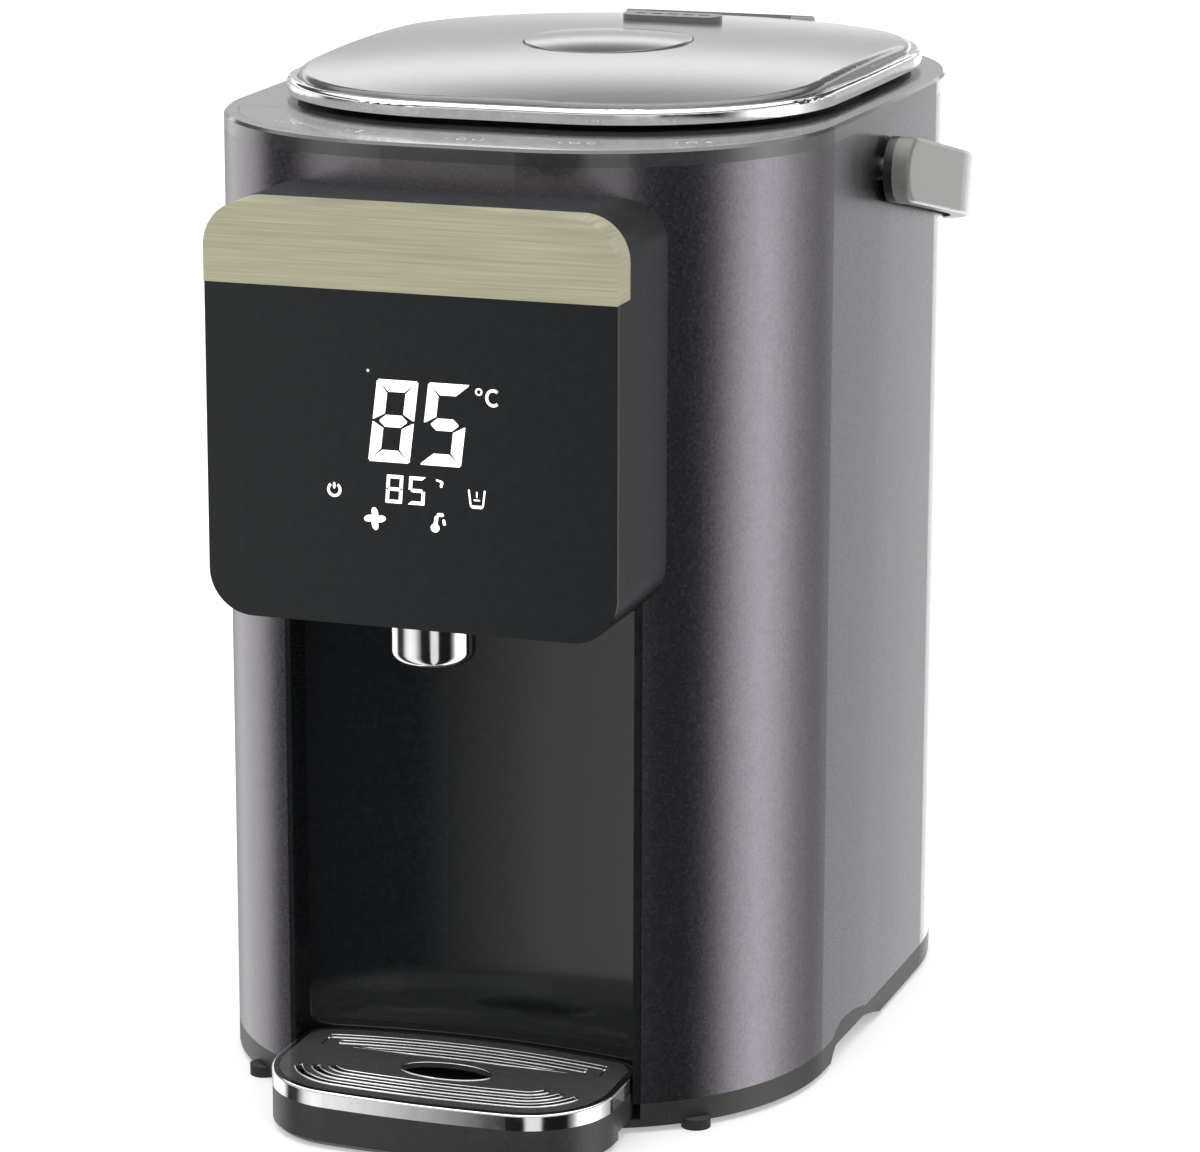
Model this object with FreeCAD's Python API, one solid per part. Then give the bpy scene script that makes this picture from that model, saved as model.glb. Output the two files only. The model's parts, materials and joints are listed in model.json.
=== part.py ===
import FreeCAD, Part
import math
import os
from FreeCAD import Vector

# Electric thermo pot, built in millimetres.
# While it is built, y = 0 is the flat of the body's front and +Y runs to the rear.
# At export everything moves back by middle_y, so the origin is the bottom centre of the whole box.

# Clearances
fit_gap = 0.15
move_gap = 0.4
shaft_gap = 0.05

# Body plan: front and rear faces, swelling sides and four corners, all tangent arcs
body_half_width = 108.5
body_widest_y = 222.0
body_side_radius = 3600.0
body_front_y = -4.7
body_face_radius = 1500.0
body_rear_y = 298.1
front_flat = 24.5
rear_flat = 8.5
shell_wall = 1.6

# Heights
foot_height = 2.1
seam_z = 10.3
deck_z = 330.0
collar_height = 5.4
deck_wall = 3.5

# Base pan
pan_wall = 2.4
pan_lip = 9.0
arch_front_y = 85.0
arch_peak_y = 103.0
arch_rear_y = 150.0
arch_height = 9.3
arch_rim = 4.6
arch_rise_share = 0.6
arch_fall_share = 0.72
foot_radius = 5.0
front_foot_x = 78.0
front_foot_y = 19.0
rear_foot_x = 82.0
rear_foot_y = 236.0
foot_depth = 1.6

# Cup bay and its liner
bay_half_width = 62.5
bay_side_y = 18.0
bay_middle_y = 25.0
liner_wall = 2.2

# Front head
head_half_width = 69.3
head_front_y = -40.3
head_bottom_z = 179.7
head_top_drop = 15.0
head_corner = 15.0
head_wall = 2.2
panel_thickness = 2.0
band_height = 26.5
band_proud = 0.6
band_return = 10.3
head_port_half_width = 50.0
head_port_bottom = 196.0
head_port_top = 300.0

# Display parts in the head
module_half_width = 25.0
module_bottom = 212.0
module_top = 268.0
module_depth = 3.3
display_board_half_width = 48.0
display_board_bottom = 200.0
display_board_top = 282.0
board_thickness = 1.6
lamp_x = 46.0
lamp_y = -32.0
lamp_half_length = 4.0
lamp_half_width = 1.6
lamp_drop = 0.8
lamp_flange = 2.0

# Nozzle and water path
nozzle_y = -20.0
nozzle_radius = 13.8
nozzle_bottom_z = 164.5
nozzle_height = 19.0
nozzle_round = 4.0
hose_radius = 5.0
hose_bore = 3.2
hose_bend = 12.0
riser_y = 37.0
riser_top_z = 214.0
elbow_joint_y = 1.0
elbow_radius = 7.0

# Inner pot
pot_share = 0.8295
pot_front_room = 19.0
pot_wall = 1.0
pot_bottom_z = 117.0
pot_rim_drop = 17.0
pot_flange = 5.0
outlet_y = 78.0
seal_height = 1.5
band_heater_height = 20.0
band_heater_z = 132.0
band_heater_wall = 1.5
sleeve_gap = 2.0
sleeve_wall = 4.0
sleeve_bottom_z = 122.0
sleeve_top_z = 296.0
heater_radius = 56.0
heater_height = 9.0
sensor_radius = 7.0
sensor_height = 12.0

# Pump
pump_radius = 22.0
pump_bottom_z = 34.0
pump_height = 24.0
chamber_radius = 17.5
chamber_floor = 9.0
chamber_height = 11.0
impeller_blades = 6
impeller_disc = 1.5
impeller_hub_radius = 4.0
impeller_shaft_radius = 2.0
impeller_shaft_length = 7.0
blade_wall = 1.4
pump_outlet_z = 48.5
bracket_wall = 2.0
bracket_half_width = 24.0
bracket_leg = 12.0
bracket_screw_inset = 6.0
bracket_screw_half = 14.0

# Collar, filling well and touch keys
collar_skirt_depth = 6.0
collar_skirt_wall = 2.1
well_gap = 1.5
well_wall = 2.0
lip_height = 2.0
key_strip_thickness = 0.8
key_strip_margin = 5.0
key_strip_lid_margin = 2.5
key_strip_share = 0.28
collar_edge = 1.0
key_board_half_width = 62.0
key_board_front_y = 13.0
key_board_rear_y = 27.0

# Lid
lid_side_margin = 9.9
lid_widest_y = 210.0
lid_side_radius = 2500.0
lid_front_y = 36.5
lid_face_radius = 1500.0
lid_rear_margin = 12.5
lid_front_tighter = 9.0
lid_rear_tighter = 18.0
lid_gap = 2.3
ring_height = 4.9
ring_width = 3.6
ring_edge = 1.8
lid_rise = 7.1
dome_radius = 1300.0
dome_edge = 3.2
cover_wall = 2.5
lid_pan_wall = 2.0
plug_step = 2.0
plug_wall = 2.0
plug_floor_rise = 6.0
inner_plate_thickness = 2.0
gasket_width = 5.4
gasket_height = 4.2

# Lid button, latch and steam vent
button_offset = 12.0
button_half_x = 29.0
button_half_y = 34.0
button_rise = 1.9
button_bed = 0.9
button_edge = 0.6
button_flange = 2.0
button_flange_wall = 1.8
button_crown = 260.0
stem_radius = 6.0
stem_length = 7.5
spring_gap = 1.0
spring_wall = 2.0
latch_half_width = 8.0
latch_reach = 3.2
latch_rear_y = 120.0
latch_height = 2.0
latch_lift = 3.4
latch_guide = 8.0
latch_guide_margin = 12.0
latch_post_half = 6.0
latch_post_rise = 4.0
latch_spring_radius = 2.6
latch_spring_length = 15.0
latch_post_depth = 3.0
latch_room = 2.8
vent_offset = 10.0
vent_half_width = 18.5
vent_half_depth = 6.5
vent_rise = 2.2
steam_tube_offset = 76.0
steam_tube_radius = 5.0
steam_tube_bore = 3.5
chest_drop = 6.0
chest_height = 3.2
vent_skirt = 8.0
vent_slots = 5
vent_slot_half = 2.0
vent_slot_spacing = 6.0

# Lid hinge
hinge_rear_margin = 7.6
hinge_rise = 4.5
hinge_radius = 4.0
hinge_pin_radius = 2.0
barrel_half_length = 28.0
ear_length = 8.0
web_height = 3.0
web_depth = 12.0
hinge_relief = 20.0

# Carry handle, a bail folded back behind the body
handle_y = 135.0
handle_drop = 22.5
handle_droop = 11.8
handle_clearance = 3.1
handle_thickness = 6.7
handle_reach = 64.5
handle_tall = 22.4
handle_edge = 1.6
handle_root_clearance = 0.6
handle_root_length = 16.0
pivot_radius = 4.0
pivot_reach = 5.5
pivot_depth = 10.5
pivot_block = 8.0

# Drip tray
tray_half_width = 59.8
tray_front_y = -43.0
tray_face_radius = 420.0
tray_front_corner = 30.0
tray_rear_corner = 12.0
tray_liner_gap = 0.8
least_corner = 0.6
tray_bottom_z = 0.9
tray_step_y = -8.0
tray_step_z = 5.2
tray_top_z = 20.0
tray_wall = 2.2
tray_edge = 1.6
trim_bottom_z = 14.5
trim_wall = 2.4
trim_edge = 0.9
grille_thickness = 1.8
grille_ledge = 1.6
slot_width = 2.6
slot_pitch = 5.6
slot_start = 5.5
slot_rows = 3
slot_front_y = -19.0
slot_rear_y = 2.0
slot_end_x = 50.0
drain_y = -10.0
drain_half_x = 16.0
drain_half_y = 7.5

# Fan, power board and inlet at the rear
fan_size = 60.0
fan_depth = 15.0
fan_z = 82.0
fan_bore = 27.0
fan_strut = 3.0
fan_hub = 9.0
fan_pin = 1.5
fan_blades = 7
fan_blade_wall = 1.2
fan_blade_tilt = 35.0
fan_front_room = 1.0
fan_tip_room = 1.5
vent_slot_count = 7
vent_slot_height = 4.0
vent_slot_pitch = 8.0
vent_slot_half_width = 25.0
board_half_width = 48.0
board_bottom_z = 140.0
board_top_z = 235.0
board_post_radius = 3.0
board_post_length = 10.0
board_post_inset = 6.0
transformer_size = 34.0
transformer_depth = 18.0
capacitor_radius = 8.0
capacitor_length = 16.0
relay_size = 16.0
relay_depth = 12.0
relay_space = 4.0
parts_space = 3.0
parts_offset = 8.0
inlet_half_width = 16.0
inlet_bottom_z = 16.0
inlet_top_z = 40.0
inlet_depth = 22.0
inlet_wall = 2.2
inlet_proud = 1.6
inlet_corner = 1.2
inlet_pin_radius = 2.0
inlet_pin_spacing = 13.0
inlet_pin_length = 15.0

# Screws
screw_radius = 1.6
screw_head_radius = 3.0
screw_head_height = 1.4
screw_length = 7.0

# Derived sizes
shell_top_z = deck_z - collar_height
head_top_z = deck_z - head_top_drop
band_bottom_z = head_top_z - band_height
front_corner = body_half_width - front_flat
rear_corner = body_half_width - rear_flat
lid_front_corner = front_corner - lid_front_tighter
lid_rear_corner = rear_corner - lid_rear_tighter
pot_radius = body_half_width * pot_share
pot_y = riser_y + pot_front_room + pot_radius
button_y = pot_y + button_offset
steam_tube_y = pot_y + steam_tube_offset
vent_y = steam_tube_y + vent_offset
pot_rim_z = deck_z - pot_rim_drop
plug_radius = pot_radius + plug_step
plug_floor_z = pot_rim_z + plug_floor_rise
lid_half_width = body_half_width - lid_side_margin
lid_rear_y = body_rear_y - lid_rear_margin
hinge_y = body_rear_y - hinge_rear_margin
hinge_z = deck_z + hinge_rise
handle_z = deck_z - handle_drop
handle_inner = body_half_width + handle_clearance
handle_outer = handle_inner + handle_thickness
handle_root_inner = body_half_width + handle_root_clearance
pivot_end_x = body_half_width + pivot_reach
pivot_start_x = body_half_width - pivot_depth
latch_front_y = pot_y - plug_radius - latch_reach
notch_front_y = latch_front_y - latch_room
lid_bottom_z = deck_z + lid_gap
ring_top_z = lid_bottom_z + ring_height
lid_top_z = ring_top_z + lid_rise
floor_top_z = foot_height + pan_wall
liner_outer_half = bay_half_width
liner_inner_half = bay_half_width - liner_wall
well_radius = plug_radius + well_gap
well_bottom_z = pot_rim_z + seal_height
lip_radius = pot_radius + fit_gap
plate_radius = pot_radius - fit_gap - move_gap - gasket_width
panel_back_y = head_front_y + panel_thickness
latch_z = plug_floor_z + plug_wall + latch_lift
latch_back_y = latch_rear_y + latch_spring_length
droop = math.radians(handle_droop)
handle_far = handle_reach + handle_outer
handle_rear_y = handle_y + handle_far * math.cos(droop) + handle_tall / 2 * math.sin(droop)
middle_y = (tray_front_y + handle_rear_y) / 2
big = 1000.0


def box(x0, x1, y0, y1, z0, z1):
    return Part.makeBox(x1 - x0, y1 - y0, z1 - z0, Vector(x0, y0, z0))


def rod(radius, start, end):
    run = end.sub(start)
    return Part.makeCylinder(radius, run.Length, start, run)


def upright(radius, x, y, z0, z1):
    return rod(radius, Vector(x, y, z0), Vector(x, y, z1))


def pipe_ring(outer, inner, x, y, z0, z1):
    return upright(outer, x, y, z0, z1).cut(upright(inner, x, y, z0, z1))


def circles_meet(c1, r1, c2, r2):
    gap = c2.sub(c1)
    d = gap.Length
    along = (r1 * r1 - r2 * r2 + d * d) / (2 * d)
    side = math.sqrt(r1 * r1 - along * along)
    foot = c1.add(gap.multiply(along / d))
    normal = Vector(-(c2.y - c1.y) / d, (c2.x - c1.x) / d, 0).multiply(side)
    return foot.add(normal), foot.sub(normal)


def toward(centre, point, radius):
    return centre.add(point.sub(centre).normalize().multiply(radius))


def mirror_x(point):
    return Vector(-point.x, point.y, point.z)


def arc_middle(centre, radius, a, b):
    half = Vector((a.x + b.x) / 2, (a.y + b.y) / 2, 0)
    return toward(centre, half, radius)


def plan_wire(half, widest, side, front, face, rear, corner_front, corner_rear, inset, z):
    # Closed outline of six kinds of tangent arc, drawn in by inset all round
    front_centre = Vector(0, front + face, 0)
    rear_centre = Vector(0, rear - face, 0)
    side_centre = Vector(half - side, widest, 0)
    near = circles_meet(front_centre, face - corner_front, side_centre, side - corner_front)
    far = circles_meet(rear_centre, face - corner_rear, side_centre, side - corner_rear)
    near = min([p for p in near if p.x > 0], key=lambda p: p.y)
    far = max([p for p in far if p.x > 0], key=lambda p: p.y)
    face_in = face - inset
    side_in = side - inset
    a = toward(front_centre, near, face_in)
    b = toward(side_centre, near, side_in)
    c = toward(side_centre, far, side_in)
    d = toward(rear_centre, far, face_in)
    ab = toward(near, arc_middle(near, corner_front - inset, a, b), corner_front - inset)
    cd = toward(far, arc_middle(far, corner_rear - inset, c, d), corner_rear - inset)
    bc = arc_middle(side_centre, side_in, b, c)
    right = [(a, ab, b), (b, bc, c), (c, cd, d)]
    left = [tuple(mirror_x(p) for p in reversed(arc)) for arc in reversed(right)]
    rear_mid = Vector(0, rear - inset, 0)
    front_mid = Vector(0, front + inset, 0)
    arcs = right + [(d, rear_mid, mirror_x(d))] + left + [(mirror_x(a), front_mid, a)]
    lift = Vector(0, 0, z)
    return Part.Wire([Part.Arc(*[p.add(lift) for p in arc]).toShape() for arc in arcs])


def body_wire(inset, z):
    return plan_wire(
        body_half_width, body_widest_y, body_side_radius, body_front_y, body_face_radius,
        body_rear_y, front_corner, rear_corner, inset, z,
    )


def lid_wire(inset, z):
    return plan_wire(
        lid_half_width, lid_widest_y, lid_side_radius, lid_front_y, lid_face_radius,
        lid_rear_y, lid_front_corner, lid_rear_corner, inset, z,
    )


def prism(wire, height):
    return Part.Face(wire).extrude(Vector(0, 0, height))


def body_block(inset, z0, z1):
    return prism(body_wire(inset, z0), z1 - z0)


def lid_block(inset, z0, z1):
    return prism(lid_wire(inset, z0), z1 - z0)


def ellipse_block(half_x, half_y, y, z0, z1):
    longest = max(half_x, half_y)
    shortest = min(half_x, half_y)
    curve = Part.Ellipse(Vector(0, 0, 0), longest, shortest).toShape()
    if half_y > half_x:
        curve.rotate(Vector(0, 0, 0), Vector(0, 0, 1), 90)
    curve.translate(Vector(0, y, z0))
    return prism(Part.Wire([curve]), z1 - z0)


def front_panel_block(half, z0, z1, corner, y0, y1):
    # A plate standing across Y, with four round corners seen from the front
    plate = box(-half, half, y0, y1, z0, z1)
    edges = [e for e in plate.Edges if abs(e.BoundBox.YLength - (y1 - y0)) < 1e-6]
    edges = [e for e in edges if e.BoundBox.XLength < 1e-6 and e.BoundBox.ZLength < 1e-6]
    return plate.makeFillet(corner, edges)


def bent_tube(points, bend, outer, inner):
    # Straight runs joined by arcs of one bend radius, hollow along its length
    edges = []
    start = points[0]
    for before, corner, after in zip(points, points[1:], points[2:]):
        into = corner.sub(before).normalize()
        out = after.sub(corner).normalize()
        turn = into.getAngle(out)
        cut = bend * math.tan(turn / 2)
        p = corner.sub(Vector(into).multiply(cut))
        q = corner.add(Vector(out).multiply(cut))
        inward = Vector(out).sub(into).normalize()
        sagitta = bend / math.cos(turn / 2) - bend
        middle = corner.add(inward.multiply(sagitta))
        edges.append(Part.LineSegment(start, p).toShape())
        edges.append(Part.Arc(p, middle, q).toShape())
        start = q
    edges.append(Part.LineSegment(start, points[-1]).toShape())
    path = Part.Wire(edges)
    heading = points[1].sub(points[0])
    skins = []
    for radius in (outer, inner):
        section = Part.Wire([Part.Circle(points[0], heading, radius).toShape()])
        skins.append(path.makePipeShell([section], True, True))
    return skins[0].cut(skins[1])


def joined(shapes):
    first = shapes[0]
    return first.fuse(shapes[1:]).removeSplitter() if len(shapes) > 1 else first


def screw(x, y, z):
    head = upright(screw_head_radius, x, y, z, z + screw_head_height)
    return head.fuse(upright(screw_radius, x, y, z, z + screw_length))


def liner_plan(half, side_y, middle_y_here, z0, z1):
    # Space in front of a concave rear wall: straight sides, and a rear arc through three points
    front = -big / 4
    lines = [
        Part.LineSegment(Vector(-half, side_y, z0), Vector(-half, front, z0)).toShape(),
        Part.LineSegment(Vector(-half, front, z0), Vector(half, front, z0)).toShape(),
        Part.LineSegment(Vector(half, front, z0), Vector(half, side_y, z0)).toShape(),
        Part.Arc(
            Vector(half, side_y, z0), Vector(0, middle_y_here, z0), Vector(-half, side_y, z0)
        ).toShape(),
    ]
    return prism(Part.Wire(lines), z1 - z0)


def bay_space(z0, z1):
    return liner_plan(liner_inner_half, bay_side_y, bay_middle_y, z0, z1)


def bay_cut(z0, z1, gap):
    rear = liner_wall + gap
    return liner_plan(liner_outer_half + gap, bay_side_y + rear, bay_middle_y + rear, z0, z1)


def arch_block(rim):
    # Finger notch in the lower edge of each side, steep in front and sloping down to the rear
    top = arch_height + rim
    rise = Part.Arc(
        Vector(0, arch_front_y - rim, -rim),
        Vector(0, (arch_front_y * 3 + arch_peak_y) / 4 - rim * 0.7, top * arch_rise_share),
        Vector(0, arch_peak_y, top),
    ).toShape()
    fall = Part.Arc(
        Vector(0, arch_peak_y, top),
        Vector(0, (arch_peak_y + arch_rear_y) / 2, top * arch_fall_share),
        Vector(0, arch_rear_y + rim, -rim),
    ).toShape()
    close = Part.LineSegment(
        Vector(0, arch_rear_y + rim, -rim), Vector(0, arch_front_y - rim, -rim)
    ).toShape()
    face = Part.Face(Part.Wire([rise, fall, close]))
    face.translate(Vector(-big / 2, 0, 0))
    return face.extrude(Vector(big, 0, 0))


def outer_shell():
    tube = body_block(0, seam_z, shell_top_z)
    tube = tube.cut(body_block(shell_wall, seam_z - 1, shell_top_z + 1))
    tube = tube.cut(bay_cut(seam_z - 1, head_bottom_z + liner_wall + fit_gap, fit_gap))
    port = box(
        -head_port_half_width, head_port_half_width, -big / 4, pot_y,
        head_port_bottom, head_port_top,
    )
    tube = tube.cut(port)
    tube = tube.cut(arch_block(arch_rim + fit_gap))
    pivot = rod(
        pivot_radius + shaft_gap, Vector(-big, handle_y, handle_z), Vector(big, handle_y, handle_z)
    )
    tube = tube.cut(pivot)
    for slot in range(vent_slot_count):
        z = fan_z + (slot - (vent_slot_count - 1) / 2) * vent_slot_pitch
        tube = tube.cut(
            box(
                -vent_slot_half_width, vent_slot_half_width, pot_y, big,
                z - vent_slot_height / 2, z + vent_slot_height / 2,
            )
        )
    hole = inlet_half_width + fit_gap
    tube = tube.cut(
        box(-hole, hole, pot_y, big, inlet_bottom_z - fit_gap, inlet_top_z + fit_gap)
    )
    return tube


def base_pan():
    wall = body_block(0, foot_height, seam_z)
    lip_inset = shell_wall + fit_gap
    wall = wall.fuse(body_block(lip_inset, seam_z, seam_z + pan_lip))
    hollow = body_block(lip_inset + pan_wall, floor_top_z, seam_z + pan_lip + 1)
    pan = wall.cut(hollow)
    pan = pan.cut(bay_cut(-1, seam_z + pan_lip + 1, fit_gap))
    pan = pan.fuse(
        body_block(0, foot_height, tray_step_z - move_gap).common(bay_cut(0, seam_z, fit_gap))
    )
    rim_inset = lip_inset + pan_wall
    arch_rim_wall = arch_block(arch_rim).common(body_block(0, foot_height, seam_z + arch_rim + 2))
    arch_rim_wall = arch_rim_wall.cut(body_block(rim_inset, -1, seam_z + arch_rim + 3))
    pan = pan.fuse(arch_rim_wall)
    notch = arch_block(0).cut(body_block(rim_inset, floor_top_z - pan_wall - 1, seam_z * 3))
    pan = pan.cut(notch)
    for x, y in foot_places():
        pan = pan.cut(upright(foot_radius + fit_gap, x, y, -1, foot_height + foot_depth))
    for x, y in screw_places():
        pan = pan.cut(upright(screw_radius + shaft_gap, x, y, -1, floor_top_z + 1))
        pan = pan.cut(upright(screw_head_radius + fit_gap, x, y, -1, foot_height + screw_head_height))
    hole = inlet_half_width + fit_gap
    pan = pan.cut(box(-hole, hole, pot_y, big, inlet_bottom_z - fit_gap, inlet_top_z))
    return pan.removeSplitter()


def foot_places():
    return [
        (side * x, y)
        for x, y in ((front_foot_x, front_foot_y), (rear_foot_x, rear_foot_y))
        for side in (-1, 1)
    ]


def feet():
    return Part.Compound(
        [upright(foot_radius, x, y, 0, foot_height + foot_depth) for x, y in foot_places()]
    )


def screw_places():
    x = bracket_half_width - bracket_screw_inset
    return [(side * x, outlet_y + end * bracket_screw_half) for side in (-1, 1) for end in (-1, 1)]


def pump_bracket():
    # A bridge over two walls, screwed down through the base pan
    top = pump_bottom_z
    deck = box(
        -bracket_half_width, bracket_half_width, outlet_y - pump_radius, outlet_y + pump_radius,
        top - bracket_wall, top,
    )
    shapes = [deck]
    for side in (-1, 1):
        inner = bracket_half_width - bracket_leg
        x0, x1 = sorted((side * inner, side * bracket_half_width))
        shapes.append(box(x0, x1, outlet_y - pump_radius, outlet_y + pump_radius, floor_top_z, top))
    bracket = joined(shapes)
    for x, y in screw_places():
        depth = screw_length + foot_height + 1
        bracket = bracket.cut(upright(screw_radius + shaft_gap, x, y, 0, depth))
    return bracket


def base_screws():
    return Part.Compound([screw(x, y, foot_height) for x, y in screw_places()])


def pump_body():
    body = upright(pump_radius, 0, outlet_y, pump_bottom_z, pump_bottom_z + pump_height)
    chamber_z = pump_bottom_z + chamber_floor
    body = body.cut(upright(chamber_radius, 0, outlet_y, chamber_z, chamber_z + chamber_height))
    inlet = upright(hose_bore, 0, outlet_y, chamber_z, big)
    mouth = Vector(0, outlet_y - chamber_radius + bracket_wall, pump_outlet_z)
    outlet = rod(hose_bore, mouth, Vector(0, 0, pump_outlet_z))
    shaft = upright(
        impeller_shaft_radius + shaft_gap, 0, outlet_y,
        chamber_z - impeller_shaft_length - move_gap, chamber_z + 1,
    )
    return body.cut(inlet).cut(outlet).cut(shaft)


def pump_impeller():
    chamber_z = pump_bottom_z + chamber_floor
    z0 = chamber_z + move_gap
    top = chamber_z + chamber_height - move_gap * 2
    radius = chamber_radius - move_gap
    wheel = upright(radius, 0, outlet_y, z0, z0 + impeller_disc)
    wheel = wheel.fuse(upright(impeller_hub_radius, 0, outlet_y, z0, top))
    wheel = wheel.fuse(
        upright(impeller_shaft_radius, 0, outlet_y, chamber_z - impeller_shaft_length, z0)
    )
    for n in range(impeller_blades):
        blade = box(0, radius - 1, -blade_wall / 2, blade_wall / 2, z0 + impeller_disc, top)
        blade.rotate(Vector(0, 0, 0), Vector(0, 0, 1), 360 * n / impeller_blades)
        blade.translate(Vector(0, outlet_y, 0))
        wheel = wheel.fuse(blade)
    return wheel.removeSplitter()


def suction_hose():
    return pipe_ring(hose_radius, hose_bore, 0, outlet_y, pump_bottom_z + pump_height, pot_bottom_z)


def riser_hose():
    start = outlet_y - pump_radius
    points = [
        Vector(0, start, pump_outlet_z),
        Vector(0, riser_y, pump_outlet_z),
        Vector(0, riser_y, riser_top_z),
        Vector(0, elbow_joint_y, riser_top_z),
    ]
    return bent_tube(points, hose_bend, hose_radius, hose_bore)


def spout_elbow():
    # Moulded elbow from the end of the riser down to the nozzle
    nozzle_top = nozzle_bottom_z + nozzle_height
    block = rod(
        elbow_radius, Vector(0, elbow_joint_y, riser_top_z),
        Vector(0, nozzle_y - elbow_radius, riser_top_z),
    )
    block = block.fuse(upright(elbow_radius, 0, nozzle_y, nozzle_top, riser_top_z))
    flange = upright(nozzle_radius, 0, nozzle_y, nozzle_top, nozzle_top + bracket_wall)
    block = block.fuse(flange)
    bore = rod(
        hose_bore, Vector(0, elbow_joint_y + 1, riser_top_z), Vector(0, nozzle_y, riser_top_z)
    )
    bore = bore.fuse(upright(hose_bore, 0, nozzle_y, nozzle_top - 1, riser_top_z))
    return block.cut(bore).removeSplitter()


def nozzle_tip():
    top = nozzle_bottom_z + nozzle_height
    tip = upright(nozzle_radius, 0, nozzle_y, nozzle_bottom_z, top)
    lower = [e for e in tip.Edges if e.BoundBox.ZMax < nozzle_bottom_z + 0.01]
    tip = tip.makeFillet(nozzle_round, lower)
    tip = tip.cut(upright(hose_bore, 0, nozzle_y, nozzle_bottom_z - 1, top + 1))
    recess = upright(
        nozzle_radius - nozzle_round - head_wall, 0, nozzle_y,
        nozzle_bottom_z - 1, nozzle_bottom_z + nozzle_round,
    )
    return tip.cut(recess)


def inner_pot():
    pot = upright(pot_radius + pot_wall, 0, pot_y, pot_bottom_z, pot_rim_z)
    pot = pot.cut(upright(pot_radius, 0, pot_y, pot_bottom_z + pot_wall, pot_rim_z + 1))
    flange_radius = pot_radius + pot_wall + pot_flange
    flange = pipe_ring(flange_radius, pot_radius, 0, pot_y, pot_rim_z - pot_wall, pot_rim_z)
    pot = pot.fuse(flange)
    return pot.cut(upright(hose_bore, 0, outlet_y, 0, pot_bottom_z + pot_wall + 1)).removeSplitter()


def pot_seal():
    outer = pot_radius + pot_wall + pot_flange - 1
    return pipe_ring(outer, pot_radius + fit_gap, 0, pot_y, pot_rim_z, well_bottom_z)


def band_heater():
    inner = pot_radius + pot_wall + fit_gap
    top = band_heater_z + band_heater_height
    return pipe_ring(inner + band_heater_wall, inner, 0, pot_y, band_heater_z, top)


def insulation_sleeve():
    inner = pot_radius + pot_wall + sleeve_gap
    sleeve = pipe_ring(inner + sleeve_wall, inner, 0, pot_y, sleeve_bottom_z, sleeve_top_z)
    tie = inner - pot_radius - pot_wall - fit_gap
    hoop = pipe_ring(inner, inner - tie, 0, pot_y, sleeve_top_z - sleeve_wall, sleeve_top_z)
    return sleeve.fuse(hoop).removeSplitter()


def heating_plate():
    z0 = pot_bottom_z - heater_height
    return pipe_ring(heater_radius, sensor_radius + fit_gap, 0, pot_y, z0, pot_bottom_z)


def temperature_sensor():
    return upright(sensor_radius, 0, pot_y, pot_bottom_z - sensor_height, pot_bottom_z)


def key_strip_space(gap):
    strip = body_block(key_strip_margin - gap, deck_z - key_strip_thickness, deck_z)
    strip = strip.cut(lid_block(-key_strip_lid_margin + gap, 0, big))
    limit = lid_front_y + lid_front_corner * key_strip_share + gap
    return strip.common(box(-big, big, -big, limit, 0, big))


def touch_key_strip():
    return key_strip_space(0)


def touch_key_board():
    z1 = deck_z - deck_wall
    return box(
        -key_board_half_width, key_board_half_width, key_board_front_y, key_board_rear_y,
        z1 - board_thickness, z1,
    )


def hinge_ears():
    shapes = []
    for side in (-1, 1):
        inner = barrel_half_length + move_gap
        x0, x1 = sorted((side * inner, side * (inner + ear_length)))
        foot = box(x0, x1, hinge_y - hinge_radius, hinge_y + hinge_radius, deck_z - 1, hinge_z)
        knuckle = rod(hinge_radius, Vector(x0, hinge_y, hinge_z), Vector(x1, hinge_y, hinge_z))
        shapes += [foot, knuckle]
    return shapes


def hinge_bore():
    radius = hinge_pin_radius + shaft_gap
    return rod(radius, Vector(-big, hinge_y, hinge_z), Vector(big, hinge_y, hinge_z))


def top_collar():
    deck = body_block(0, deck_z - deck_wall, deck_z)
    rim_edges = [e for e in deck.Edges if e.BoundBox.ZMin > deck_z - 0.01]
    deck = deck.makeChamfer(collar_edge, rim_edges)
    rim = body_block(0, shell_top_z, deck_z - deck_wall)
    rim = rim.cut(body_block(shell_wall * 2, shell_top_z - 1, deck_z))
    skirt_inset = shell_wall + fit_gap
    skirt_z = shell_top_z - collar_skirt_depth
    skirt = body_block(skirt_inset, skirt_z, deck_z - deck_wall)
    skirt = skirt.cut(body_block(skirt_inset + collar_skirt_wall, skirt_z - 1, deck_z))
    head_room = box(
        -head_port_half_width, head_port_half_width, -big / 4, key_board_front_y, 0, head_port_top
    )
    skirt = skirt.cut(head_room)
    well = pipe_ring(well_radius + well_wall, well_radius, 0, pot_y, well_bottom_z, deck_z - deck_wall)
    lip = pipe_ring(
        well_radius + well_wall, lip_radius, 0, pot_y, well_bottom_z, well_bottom_z + lip_height
    )
    collar = joined([deck, rim, skirt, well, lip] + hinge_ears())
    collar = collar.cut(
        upright(well_radius, 0, pot_y, well_bottom_z + lip_height, deck_z + 1)
    )
    collar = collar.cut(hinge_bore())
    collar = collar.cut(key_strip_space(fit_gap))
    notch_half = latch_half_width + move_gap
    notch_rear = pot_y - plug_radius + latch_guide
    notch = box(-notch_half, notch_half, notch_front_y, notch_rear, latch_z - move_gap * 2, big)
    return collar.cut(notch).removeSplitter()


def dome_ball(drop):
    middle = (lid_front_y + lid_rear_y) / 2
    return Part.makeSphere(dome_radius - drop, Vector(0, middle, lid_top_z - dome_radius))


def dome_drop(y):
    # How far the dome has fallen below its top at this depth
    middle = (lid_front_y + lid_rear_y) / 2
    return dome_radius - math.sqrt(dome_radius ** 2 - (y - middle) ** 2)


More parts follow.
